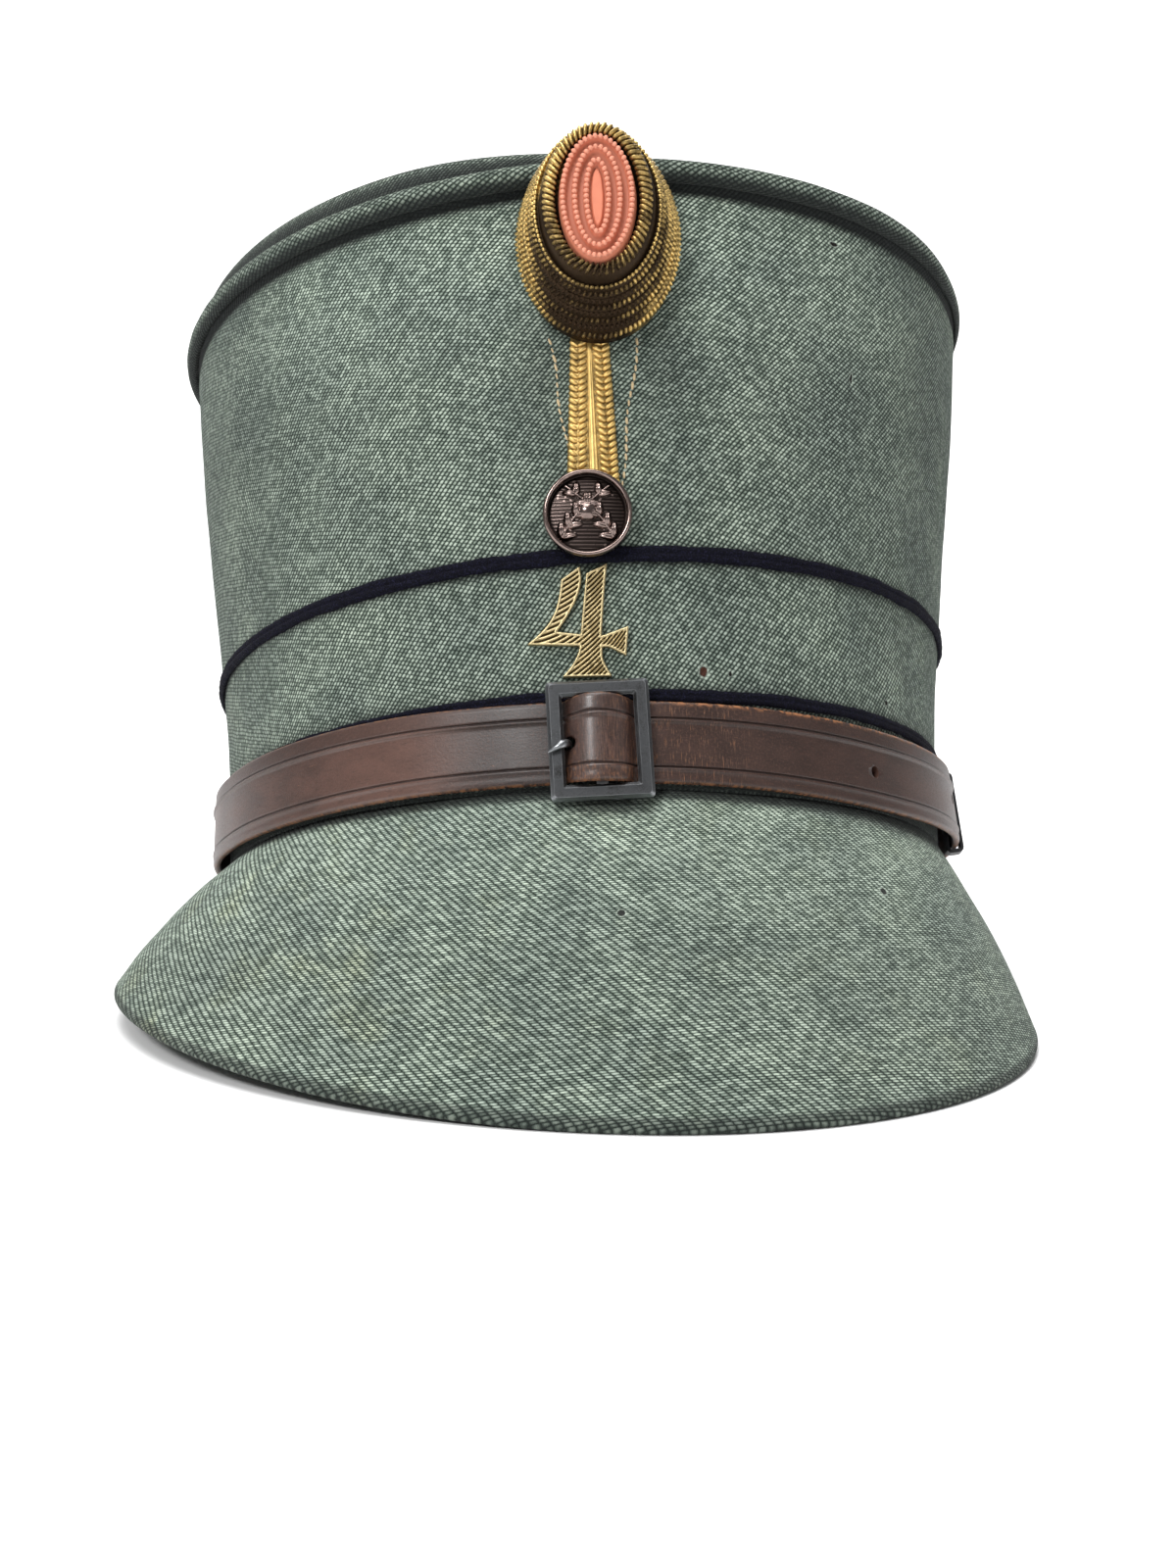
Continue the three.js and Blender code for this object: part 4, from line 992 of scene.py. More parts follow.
class KEPI_OT_crown(bpy.types.Operator):
    """Builds the crown's wall, its top and the welt between them"""
    bl_idname = "kepi.crown"
    bl_label = "Crown"

    def execute(self, context):
        # The wall's twill is made paler over a band high up: painted light.
        self.wall(crown_twill("green_twill", 50, holes=hole_spots(), paler=(88, 122, 1.3)))
        # The top and the welt take darker copies of the crown's twill: painted shade.
        self.top(crown_twill("green_twill_top", 40, light=0.62))
        self.welt(crown_twill("green_twill_welt", 35, light=0.72))
        return {"FINISHED"}

    def wall(self, cloth):
        turns = crown_columns()
        radius = CROWN_WALL / 2
        outer_rises = np.concatenate([np.linspace(radius, 20, 14), np.linspace(20, CROWN_HEIGHT, 112)[1:]])
        inner_rises = np.linspace(CROWN_HEIGHT, radius, 20)
        bend = np.radians(np.linspace(0, 180, 9)[1:-1])
        rises = np.concatenate([outer_rises, inner_rises, radius - radius * np.sin(bend)])
        outs = np.concatenate([0 * outer_rises, 0 * inner_rises - CROWN_WALL,
                               -radius - radius * np.cos(bend)])
        turn = wrapped(turns)[:, None]
        waves = 0.5 * lumps(turn, outer_rises, 34, 1) + 0.2 * lumps(turn, outer_rises, 12, 2)
        hold = smoothstep(outer_rises, 0, 30) * (1 - smoothstep(outer_rises, 125, 136))
        uneven = np.zeros((len(turns), len(rises)))
        seam = 0.6 * np.exp(-((outer_rises - 134.6) / 1.5) ** 2)
        uneven[:, :len(outer_rises)] = waves * hold - pit_depth(turn, outer_rises) - seam
        points = crown_point(turn, rises, outs + uneven)
        u = cloth_run(closed(turns))
        v = np.concatenate([outer_rises, 2 * CROWN_HEIGHT - inner_rises, -3 + 0 * bend, [rises[0]]])
        is_outer = np.arange(len(rises)) < len(outer_rises)
        shade = np.maximum(seam_shade(rises, len(outer_rises)), soft_shade(turn, rises) * is_outer)
        piece = grid_piece("crown_cloth", points, cloth, spread(u[:, None], v), close_rows=True,
                           close_columns=True, masks={"painted_shade": shade})
        settle(piece, ["crown_wall"])

    def top(self, cloth):
        turns = np.linspace(-180, 180, 257)[:-1]
        middle = (crown_point(0, CROWN_HEIGHT) + crown_point(180, CROWN_HEIGHT)) / 2
        edge, edge_width = 0.955, 0.042
        reaches = np.concatenate([np.linspace(0, 0.85, 24), np.linspace(0.86, edge, 12),
                                  edge + edge_width * np.sin(np.radians(np.linspace(8, 90, 12)))])
        roll = (TOP_ROLL_HEIGHT * along(RIM_STATIONS, "turn", "roll", turns))[:, None]
        level = (roll + TOP_ROLL_HEIGHT * RIM_STATIONS[0]["roll"]) / 2
        dish = np.clip(along(TOP_SECTIONS, "reach", "dish", np.minimum(reaches, edge)), 0, 1)
        bend = np.clip((reaches - edge) / edge_width, 0, 1)
        fall = 0.35 + 0.65 * np.sqrt(np.clip(1 - bend**2, 0, 1))
        towards = roll + (level - roll) * dish
        lowest = GAP + 2.0
        upper = np.maximum(lowest, towards * fall - TOP_ROLL_DEPTH * dish)
        rim = crown_point(turns, CROWN_HEIGHT)[:, None, :]
        lower_reaches = reaches[::-3]
        lower = np.interp(lower_reaches, reaches, np.arange(len(reaches)))
        lower_heights = np.stack([np.interp(lower, np.arange(len(reaches)), row) for row in upper])
        lower_heights = np.where(lower_reaches > 0.96, GAP, lower_heights - TOP_PANEL_THICKNESS)
        all_reaches = np.concatenate([reaches, lower_reaches])
        heights = np.concatenate([upper, np.maximum(lower_heights, GAP)], 1)
        points = middle + (rim - middle) * all_reaches[:, None]
        points[..., 2] += heights
        waves = 0.35 * lumps(turns[:, None], 30 + 100 * all_reaches, 30, 5)
        points[..., 2] += waves * np.minimum(1, all_reaches * 4) * (all_reaches < 0.93)
        surface = points[..., :2].copy()
        side = np.clip(upper[:, :1] - np.concatenate([upper, lower_heights], 1), 0, None)
        surface += crown_normal(turns)[:, None, :2] * (side * (all_reaches > 0.9))[..., None]
        surface = np.concatenate([surface, surface[:1]], 0)
        # Painted shade in the groove along the rim, next to the welt.
        seam = smoothstep(all_reaches, 0.984, 0.996) * 0.85
        piece = grid_piece("crown_top_cloth", points, cloth, surface, close_rows=True, merge=1e-6,
                           masks={"painted_shade": seam})
        settle(piece, ["crown_top"])

    def welt(self, cloth):
        turns = np.linspace(-180, 180, 361)[:-1]
        angles = all_round(28)
        thickness = (WELT_THICKNESS * along(RIM_STATIONS, "turn", "welt", turns))[:, None]
        lumpy = 1 + 0.05 * lumps(turns, CROWN_HEIGHT, 9, 3)[:, None]
        sunk = 0.5
        out = (GAP + sunk + thickness) / 2 * (1 + np.cos(angles) * lumpy) - sunk
        points = crown_point(turns[:, None], CROWN_HEIGHT + WELT_RISE, out)
        points[..., 2] += np.sin(angles) * WELT_HEIGHT / 2 * lumpy
        u = cloth_run(closed(turns))
        girth = np.linspace(0, 13, len(angles) + 1)
        # Painted shade on the welt's underside and in the groove along its top.
        under = smoothstep(-np.sin(angles), 0.15, 0.85) * 0.9
        above = smoothstep(np.sin(angles), 0.72, 0.97) * 0.85
        piece = grid_piece("top_welt_cloth", points, cloth, spread(u[:, None], girth), close_rows=True,
                           close_columns=True, masks={"painted_shade": np.maximum(under, above)})
        settle(piece, ["top_welt"])


def peak_lines():
    """Middle lines of the peak from end to end: turns, roots, directions down and out, lengths."""
    shares = np.linspace(-1, 1, 281)
    turn = PEAK_END_TURN * np.sin(shares * math.pi / 2)
    is_right = turn < 0
    side = np.where(is_right, PEAK_SLOPE_RIGHT, PEAK_SLOPE_LEFT)
    slope = np.radians(PEAK_SLOPE_FRONT + (side - PEAK_SLOPE_FRONT) * np.sin(np.radians(turn)) ** 2)
    normal = crown_normal(turn)
    upright = np.array([0, 0, 1.0])
    down = normal * np.cos(slope)[:, None] - upright * np.sin(slope)[:, None]
    outward = normal * np.sin(slope)[:, None] + upright * np.cos(slope)[:, None]
    root = crown_point(turn, 0, GAP)
    root[:, 2] = -GAP
    lifted = smoothstep(-turn, 0, PEAK_LIFTED_FROM * PEAK_END_TURN)
    lift = np.where(is_right, lifted, 0) * PEAK_LIFT_RIGHT
    corner = np.where(is_right, PEAK_CORNER_RIGHT, PEAK_CORNER_LEFT)
    from_end = np.radians(PEAK_END_TURN - np.abs(turn)) * (HEAD_HALF_WIDTH + PEAK_LENGTH / 2)
    short = np.maximum(corner - from_end, 0)
    cut = corner - np.sqrt(corner**2 - short**2)
    fall = -down[:, 2] + SIDEWAYS * down[:, 0] + PITCH * down[:, 1]
    steep = math.sqrt(1 + SIDEWAYS**2 + PITCH**2)
    radius = PEAK_THICKNESS / 2
    middle = root - outward * radius
    height = middle[:, 2] - (GROUND_BASE + SIDEWAYS * middle[:, 0] + PITCH * middle[:, 1]) - lift
    length = (height - radius * steep) / fall - cut
    return turn, middle, down, outward, length


def mark_spots(turn, reach, surface):
    """The peak's dark marks with their places on its cloth."""
    marks = []
    for mark in PEAK_MARKS:
        i = int(np.argmin(np.abs(turn - mark["turn"])))
        j = int(np.argmin(np.abs(reach - mark["down"])))
        across, up = surface[i, j].tolist()
        marks.append({"u": across, "v": up, "width": mark["size"], "height": mark["size"],
                      "colour": (0.02, 0.022, 0.02)})
    return marks


class KEPI_OT_peak(bpy.types.Operator):
    """Builds the cloth peak with its turned edge"""
    bl_idname = "kepi.peak"
    bl_label = "Peak"

    def execute(self, context):
        turn, middle, down, outward, length = peak_lines()
        radius = PEAK_THICKNESS / 2
        under_wall = -0.018
        steps = np.concatenate([[under_wall], np.linspace(0, 0.9, 46), np.linspace(0.9, 1, 8)[1:]])
        inner_steps = np.linspace(1, 0, 24)
        bend = np.radians(np.linspace(90, -90, 13)[1:-1])
        reach = np.concatenate([steps, 1 + 0 * bend, inner_steps])
        is_upper = np.arange(len(reach)) < len(steps)
        camber = 4 * PEAK_CAMBER * reach * (1 - reach)
        over = np.concatenate([radius + 0 * steps, radius * np.sin(bend), -radius + 0 * inner_steps])
        beyond = np.concatenate([0 * steps, radius * np.cos(bend), 0 * inner_steps])
        waves = np.zeros((len(turn), len(reach)))
        wavy = 0.35 * lumps(turn[:, None], 10 + 120 * steps, 26, 7)
        waves[:, :len(steps)] = wavy * smoothstep(1 - steps, 0, 0.1)
        run = length[:, None] * reach + beyond
        rise = camber + over + waves
        points = middle[:, None] + down[:, None] * run[..., None] + outward[:, None] * rise[..., None]
        u = arc_lengths(middle + down * (length / 2)[:, None])
        u = u - np.interp(0, turn, u)
        v = np.where(np.arange(len(reach)) < len(steps) + len(bend), run, 200 - run)
        surface = spread(points[..., 0] * 0.55 + u[:, None] * 0.45, -v)
        surface = np.concatenate([surface, surface[:, :1]], 1)
        marks = mark_spots(turn, steps, surface)
        row = sizes().peak_row * 1000
        # The peak's twill is made paler over its upper part towards the root: painted light.
        cloth = twill("green_twill_peak", 5, row, row * 2.8, row * 0.78, 1.0, marks, 0.25, (0.5, 0.6),
                      (-48, -8, 1.24))
        # Painted shade beneath the strap and the buckle, and along the turned edge.
        shaded = smoothstep(turn, 0, 60)[:, None] * 3.6
        shade = 0.92 * (1 - smoothstep(run, 0.9, 2.6 + shaded)) * is_upper
        shade = np.maximum(shade, 0.6 * smoothstep(reach, 0.984, 1.0))
        under_buckle = 0.8 * np.exp(-((u[:, None] - 3.5) / 9.5) ** 4) * (1 - smoothstep(run, 4.2, 8))
        shade = np.maximum(shade, under_buckle * is_upper)
        piece = grid_piece("peak_cloth", points, cloth, surface, close_columns=True, cap_ends=True,
                           masks={"painted_shade": shade})
        settle(piece, ["peak"])
        return {"FINISHED"}


class KEPI_OT_pipings(bpy.types.Operator):
    """Builds the two navy pipings, each with a groove along its middle"""
    bl_idname = "kepi.pipings"
    bl_label = "Pipings"

    def execute(self, context):
        cord = navy_cord()
        sunk, thicker, higher = 0.6, 0.5, 0.3
        turns = np.linspace(-180, 180, 1081)[:-1]
        angles = all_round(28)
        lobes = 1 - 0.42 * np.exp(-(np.sin(angles) / 0.22) ** 2) * (np.cos(angles) > 0)
        for node, piping in (("upper_piping", UPPER_PIPING), ("lower_piping", LOWER_PIPING)):
            rise = piping["rise"]
            lumpy = (1 + 0.14 * lumps(turns, rise, 5, 11) + 0.12 * lumps(turns, rise, 1.5, 13))[:, None]
            out = (piping["thickness"] + thicker) / 2 * (1 + np.cos(angles) * lobes * lumpy) - sunk
            wander = 0.25 * lumps(turns, rise, 14, 12)[:, None]
            points = crown_point(turns[:, None], rise + wander, out)
            points[..., 2] += np.sin(angles) * (piping["height"] + higher) / 2 * lumpy
            piece = grid_piece(node + "_cord", points, cord, close_rows=True, close_columns=True)
            settle(piece, [node])
        return {"FINISHED"}


def strap_section():
    """The strap's section as shares across and out, and where its tooled lines lie."""
    edge = np.radians(np.linspace(-90, 90, 9))
    round_edge = STRAP_THICKNESS / 2 / STRAP_WIDTH
    flat = np.concatenate([np.linspace(round_edge, 0.15, 5)[1:], np.linspace(0.16, 0.24, 13),
                           np.linspace(0.26, 0.69, 13), np.linspace(0.7, 0.83, 19),
                           np.linspace(0.85, 1 - round_edge, 5)[:-1]])
    tooled = np.exp(-((flat - 0.2) / 0.011) ** 2) + np.exp(-((flat - 0.79) / 0.011) ** 2)
    raised = np.exp(-((flat - 0.755) / 0.022) ** 2) + 0.5 * np.exp(-((flat - 0.165) / 0.02) ** 2)
    across = np.concatenate([round_edge - round_edge * np.cos(edge), flat,
                             1 - round_edge + round_edge * np.cos(edge[::-1]),
                             np.linspace(0.9, 0.1, 7)])
    depth = np.concatenate([0.5 + 0.5 * np.sin(edge), 1 - 0.26 * tooled + 0.26 * raised,
                            0.5 + 0.5 * np.sin(edge[::-1]), np.zeros(7)])
    groove = np.zeros(len(across))
    groove[len(edge):len(edge) + len(flat)] = np.clip(tooled, 0, 1)
    return across, depth, groove


class KEPI_OT_strap(bpy.types.Operator):
    """Builds the leather strap with its tooled lines and punched holes"""
    bl_idname = "kepi.strap"
    bl_label = "Strap"

    def execute(self, context):
        near = turn_at(BUCKLE_SHIFT + np.linspace(-14, 14, 57), BUCKLE_RISE)
        turns = np.concatenate([np.linspace(-180, near[0], 151)[:-1], near,
                                np.linspace(near[-1], 180, 151)[1:-1]])
        across, depth, groove = strap_section()
        points = strap_point(turns[:, None], across, depth)
        u = arc_lengths(strap_point(turns, 0.5, 0.5))
        u = np.concatenate([u, [u[-1] + 4]]) - np.interp(near[len(near) // 2], turns, u)
        v = np.concatenate([across * STRAP_WIDTH, [0]])
        from_buckle = crown_point(turns, BUCKLE_RISE)[:, 0] - BUCKLE_SHIFT
        bulge = (np.abs(from_buckle) < 7) * (np.abs(turns) < 90)
        top_edge = smoothstep(across, 0.93, 0.99) * smoothstep(turns[:, None], 4, 12)
        rims = smoothstep(np.abs(across - 0.5), 0.465, 0.5) * 0.55
        masks = {"groove": groove, "bulge": bulge[:, None], "wear": np.maximum(top_edge, rims)}
        piece = grid_piece("chin_strap_leather", points, leather(), spread(u[:, None], v), close_rows=True,
                           close_columns=True, masks=masks)
        punches = [(turn, share, STRAP_HOLE_DIAMETER) for turn, share in STRAP_HOLES]
        punches.append((turn_at(PRONG_SHIFT, BUCKLE_RISE), PRONG_HOLE_SHARE, PRONG_HOLE_DIAMETER))
        for turn, share, diameter in punches:
            punch(piece, strap_point(turn, share, -0.8), strap_point(turn, share, 1.8), diameter)
        settle(piece, ["chin_strap"])
        return {"FINISHED"}


def punch(piece, start, end, diameter):
    """Cuts a round hole through a piece between two points in the crown's own axes."""
    start, end = Vector(to_frame(start)), Vector(to_frame(end))
    run = end - start
    shape = bmesh.new()
    bmesh.ops.create_cone(shape, cap_ends=True, segments=20, radius1=diameter / 2000,
                          radius2=diameter / 2000, depth=run.length)
    mesh = bpy.data.meshes.new("punch")
    shape.to_mesh(mesh)
    shape.free()
    tool = add_object("punch", mesh)
    turned = run.to_track_quat("Z", "Y").to_matrix().to_4x4()
    tool.matrix_world = Matrix.Translation((start + end) / 2) @ turned
    cut = piece.modifiers.new("cut", "BOOLEAN")
    cut.operation, cut.object, cut.solver = "DIFFERENCE", tool, "EXACT"
    graph = bpy.context.evaluated_depsgraph_get()
    made = bpy.data.meshes.new_from_object(piece.evaluated_get(graph))
    piece.modifiers.clear()
    piece.data = made
    bpy.data.objects.remove(tool)


def tube(name, path, radii, material, sides, flatten):
    """A round bar along a path in the crown's own axes, closed at both ends."""
    path, radii = np.asarray(path, float), np.asarray(radii, float)
    tangents = np.gradient(path, axis=0)
    tangents /= np.linalg.norm(tangents, axis=1, keepdims=True)
    outward = crown_normal(0)
    side = np.cross(tangents, outward)
    side /= np.linalg.norm(side, axis=1, keepdims=True)
    up = np.cross(side, tangents)
    angles = all_round(sides)
    ring = (side[:, None] * np.cos(angles)[None, :, None]
            + up[:, None] * np.sin(angles)[None, :, None] * flatten)
    points = path[:, None] + ring * radii[:, None, None]
    return grid_piece(name, points, material, close_columns=True, cap_ends=True)


def rounded_rectangle(half_width, half_height, radius, per_corner=5, per_side=6):
    """Points of a rounded rectangle, anticlockwise, with each side split between its corners."""
    corners = []
    for quarter, (sx, sy) in enumerate(((1, 1), (-1, 1), (-1, -1), (1, -1))):
        centre = np.array([sx * (half_width - radius), sy * (half_height - radius)])
        angles = np.radians(90 * quarter + np.linspace(0, 90, per_corner))
        corners.append(centre + radius * np.stack([np.cos(angles), np.sin(angles)], -1))
    runs = []
    for corner, following in zip(corners, corners[1:] + corners[:1]):
        runs.extend([corner, np.linspace(corner[-1], following[0], per_side)[1:-1]])
    return np.concatenate(runs)


class KEPI_OT_buckle(bpy.types.Operator):
    """Builds the buckle's frame, its prong and the strap's keeper"""
    bl_idname = "kepi.buckle"
    bl_label = "Buckle"

    def execute(self, context):
        steel = worn_metal("dark_steel", toned(colours().steel), 0.26, (0.012, 0.011, 0.01), 0.45,
                           size=1.2, edge_wear_and_highlight_gain=4.5)
        self.frame(steel)
        self.prong(steel)
        self.keeper()
        return {"FINISHED"}

    def frame(self, steel):
        wider, thick, bevel = 0.4, BUCKLE_THICKNESS, 0.62
        bar = BUCKLE_BAR + wider
        profile = [(0, 0.15), (0, thick - bevel), (0.08, thick - bevel + 0.12), (bevel - 0.08, thick - 0.08),
                   (bevel, thick), (bevel + 0.16, thick), (bar - bevel - 0.16, thick), (bar - bevel, thick),
                   (bar - bevel + 0.08, thick - 0.06), (bar - 0.1, thick - bevel + 0.1),
                   (bar, thick - bevel), (bar, 0.15), (bar - 0.15, 0), (0.15, 0)]
        rings = []
        for inset, height in profile:
            radius = max(0.35, 0.9 - inset * 0.3)
            flat = rounded_rectangle(BUCKLE_WIDTH / 2 - inset, BUCKLE_HEIGHT / 2 - inset, radius)
            rings.append(np.column_stack([flat, np.full(len(flat), height)]))
        place = (BUCKLE_SHIFT, BUCKLE_RISE, BUCKLE_OUT, BUCKLE_TURN)
        points = np.stack([on_front(ring, *place) for ring in rings], 1)
        outline = grid_piece("buckle_outline", points, steel, close_rows=True, close_columns=True)
        half = (BUCKLE_HEIGHT - 2 * bar) / 2 + bar / 4
        level = GAP + MIDDLE_BAR_THICKNESS / 2
        path = on_front([(0, y, level) for y in np.linspace(-half, half, 12)], *place)
        middle = tube("buckle_middle", path, np.full(len(path), MIDDLE_BAR / 2), steel, 16,
                      MIDDLE_BAR_THICKNESS / MIDDLE_BAR)
        whole = joined("buckle_frame_steel", [outline, middle])
        settle(sharpened(whole, 28), ["buckle_frame"])

    def prong(self, steel):
        turn = turn_at(PRONG_SHIFT, BUCKLE_RISE)
        clear = BUCKLE_OUT + BUCKLE_THICKNESS + GAP + PRONG_THICKNESS / 2
        tail = strap_point(turn, PRONG_HOLE_SHARE, 0.3)
        tip_turn = turn_at(BUCKLE_SHIFT - BUCKLE_WIDTH / 2 + 0.8, BUCKLE_RISE)
        tip = crown_point(tip_turn, 0, clear + 0.3)
        tip[2] = STRAP_RISE + STRAP_WIDTH * 0.33
        bend = strap_point(turn, PRONG_HOLE_SHARE, 1)
        outward = crown_normal(turn)
        bend = bend + outward * (clear + 0.9 - outward @ (bend - crown_point(turn, 0)))
        t = np.linspace(0, 1, 22)[:, None]
        path = (1 - t) ** 2 * tail + 2 * t * (1 - t) * (bend + outward * 0.7) + t**2 * tip
        taper = np.concatenate([np.linspace(1, 1.12, 12), np.linspace(1.1, 0.42, 9), [0.12]])
        piece = tube("buckle_prong_steel", path, PRONG_THICKNESS / 2 * taper, steel, 16, 0.8)
        settle(sharpened(piece, 50), ["buckle_prong"])

    def keeper(self):
        half_turn = math.degrees(KEEPER_LENGTH / 2 / HEAD_HALF_WIDTH)
        black = worn_metal("black_metal", (0.03, 0.03, 0.032), 0.35, (0.008, 0.007, 0.006), 0.2,
                           metallic=0.8)
        rings = []
        for grow, reach in ((0, 1.0), (KEEPER_THICKNESS * 0.15, 1.08), (KEEPER_THICKNESS, 1.0)):
            flat = rounded_rectangle(STRAP_WIDTH / 2 + GAP + grow, STRAP_THICKNESS / 2 + GAP + grow,
                                     0.25 + grow, 4, 5)
            rings.append((0.5 + flat[:, 0] / STRAP_WIDTH, 0.5 + flat[:, 1] / STRAP_THICKNESS, reach))
        rows = []
        for side, order in ((-1, rings[::-1]), (1, rings)):
            for across, depth, reach in order:
                rows.append(strap_point(KEEPER_TURN + side * half_turn * reach, across, depth))
        piece = grid_piece("strap_keeper_metal", np.stack(rows), black, close_rows=True, close_columns=True)
        settle(sharpened(piece, 40), ["strap_keeper"])


def numeral_outline():
    """The numeral's outline with its curved runs drawn smoothly, in millimetres."""
    size = np.array([NUMERAL_WIDTH, NUMERAL_HEIGHT])
    places = [(np.array(row[:2]) - 0.5) * size for row in NUMERAL_OUTLINE]
    count = len(places)
    outline = []
    for k, (_, _, is_corner) in enumerate(NUMERAL_OUTLINE):
        a, b = places[k], places[(k + 1) % count]
        next_corner = NUMERAL_OUTLINE[(k + 1) % count][2]
        before = a + a - b if is_corner else places[k - 1]
        after = b + b - a if next_corner else places[(k + 2) % count]
        steps = 2 if is_corner and next_corner else 5
        for t in np.linspace(0, 1, steps + 1)[:-1]:
            outline.append(0.5 * (2 * a + (b - before) * t + (2 * before - 5 * a + 4 * b - after) * t**2
                                  + (3 * a - before - 3 * b + after) * t**3))
    return np.array(outline)


def outline_distance(points, outline):
    """Distance to a closed outline, positive inside it, and the nearest place on it."""
    best = np.full(len(points), np.inf)
    nearest = np.zeros_like(points)
    inside = np.zeros(len(points), bool)
    for a, b in zip(outline, np.roll(outline, -1, 0)):
        run = b - a
        t = np.clip((points - a) @ run / (run @ run), 0, 1)
        place = a + t[:, None] * run
        distance = np.linalg.norm(points - place, axis=1)
        closer = distance < best
        best[closer] = distance[closer]
        nearest[closer] = place[closer]
        crosses = (a[1] > points[:, 1]) != (b[1] > points[:, 1])
        if crosses.any():
            x = a[0] + (points[:, 1] - a[1]) * run[0] / (run[1] or 1)
            inside ^= crosses & (points[:, 0] < x)
    return np.where(inside, best, -best), nearest


def numeral_relief(points, distance):
    """Height of the numeral's face: a raised border round a field of slanting ridges."""
    border, slope = 0.5, 0.22
    pitch = sizes().hatch_pitch * 1000
    slant = math.radians(33)
    x, y = points[:, 0], points[:, 1]
    across = y * math.cos(slant) - x * math.sin(slant) - 0.028 * (x + 1.5) ** 2
    ridge = 0.5 + 0.5 * np.cos(2 * math.pi * across / pitch)
    field = smoothstep(distance, border - slope / 2, border + slope / 2)
    face = NUMERAL_THICKNESS - field * (0.6 - 0.56 * ridge**0.6)
    edge = np.clip(distance / 0.2, 0, 1)
    return face - 0.2 * (1 - np.sqrt(1 - (1 - edge) ** 2)), field * (1 - ridge) ** 1.4


def plate_faces(quads, count):
    """Faces of a plate from the quads of its top: the top, the base and the sides between them."""
    pairs = dict.fromkeys((a, b) for quad in quads for a, b in zip(quad, quad[1:] + quad[:1]))
    base = [[corner + count for corner in quad[::-1]] for quad in quads]
    return quads + base + [(b, a, a + count, b + count) for a, b in pairs if (b, a) not in pairs]


class KEPI_OT_numeral(bpy.types.Operator):
    """Builds the brass numeral with its raised border and hatched field"""
    bl_idname = "kepi.numeral"
    bl_label = "Numeral"

    def execute(self, context):
        cell = 0.13
        outline = numeral_outline()
        xs = np.arange(-NUMERAL_WIDTH / 2 - cell, NUMERAL_WIDTH / 2 + 2 * cell, cell)
        ys = np.arange(-NUMERAL_HEIGHT / 2 - cell, NUMERAL_HEIGHT / 2 + 2 * cell, cell)
        places = np.stack(np.meshgrid(xs, ys, indexing="ij"), -1).reshape(-1, 2)
        distance, nearest = outline_distance(places, outline)
        kept = distance > 0
        index = np.arange(len(places)).reshape(len(xs), len(ys))
        quads = np.stack([index[:-1, :-1], index[1:, :-1], index[1:, 1:], index[:-1, 1:]], -1).reshape(-1, 4)
        quads = quads[kept[quads].sum(1) >= 2]
        places = np.where(kept[:, None] & (distance[:, None] > cell * 0.3), places, nearest)
        distance = np.where(kept & (distance > cell * 0.3), distance, 0)
        height, hollow = numeral_relief(places, distance)
        used, quads = np.unique(quads, return_inverse=True)
        count = len(used)
        faces = plate_faces(quads.reshape(-1, 4).tolist(), count)
        top = np.column_stack([places[used], height[used]])
        base = np.column_stack([places[used], np.zeros(count)])
        points = to_frame(on_front(np.concatenate([top, base]), NUMERAL_SHIFT, NUMERAL_RISE, GAP))
        brass = worn_metal("aged_brass", toned(colours().brass), 0.36, (0.06, 0.042, 0.018), 0.3,
                           hollows=True, edge_wear_and_highlight_gain=1.15)
        piece = new_piece("numeral_4_brass", points, faces, brass)
        paint(piece, "hollow", np.concatenate([hollow[used], np.zeros(count)]))
        face_out(piece, 1e-7)
        settle(sharpened(piece, 50), ["numeral_4"])
        return {"FINISHED"}


def leaf_spray(mirror):
    """Leaves of one curved spray: middle, direction, half length and half width."""
    leaves = []
    for t in np.linspace(0.1, 1, 6):
        x = (-4.4 + 8.2 * t - 1.1 * math.sin(t * math.pi)) * mirror
        y = -4.6 + 9.2 * t
        heading = math.radians(50) if mirror > 0 else math.radians(130)
        for side in (-1, 1):
            direction = heading + side * 0.75
            reach = 1.15 - 0.2 * t
            leaves.append((x + math.cos(direction) * reach, y + math.sin(direction) * reach, direction,
                           1.25 - 0.2 * t, 0.56))
    return leaves


def button_relief(x, y):
    """Height of two crossed leafy sprays and a boss over a hatched ground, in millimetres."""
    height = 0.06 * np.sin(2 * math.pi * y / 0.55)
    for mirror in (-1, 1):
        t = np.clip((y + 4.6) / 9.2, 0, 1)
        stem_x = (-4.4 + 8.2 * t - 1.1 * np.sin(t * math.pi)) * mirror
        stem = 0.62 * np.exp(-((x - stem_x) / 0.34) ** 2) * (np.abs(y) < 5.2)
        height = np.maximum(height, stem)
        for cx, cy, direction, length, width in leaf_spray(mirror):
            a = (x - cx) * math.cos(direction) + (y - cy) * math.sin(direction)
            b = -(x - cx) * math.sin(direction) + (y - cy) * math.cos(direction)
            taper = width * (1.05 - 0.35 * a / length)
            body = np.clip(1 - (a / length) ** 2 - (b / taper) ** 2, 0, 1) ** 0.5
            vein = 0.2 * np.exp(-(b / 0.11) ** 2) * (body > 0)
            height = np.maximum(height, (0.85 + 0.12 * math.sin(cx * 3 + cy)) * body - vein)
    boss = np.clip(1 - (x**2 + (y - 0.2) ** 2) / 1.5**2, 0, 1) ** 0.5
    return np.maximum(height, 1.05 * boss)


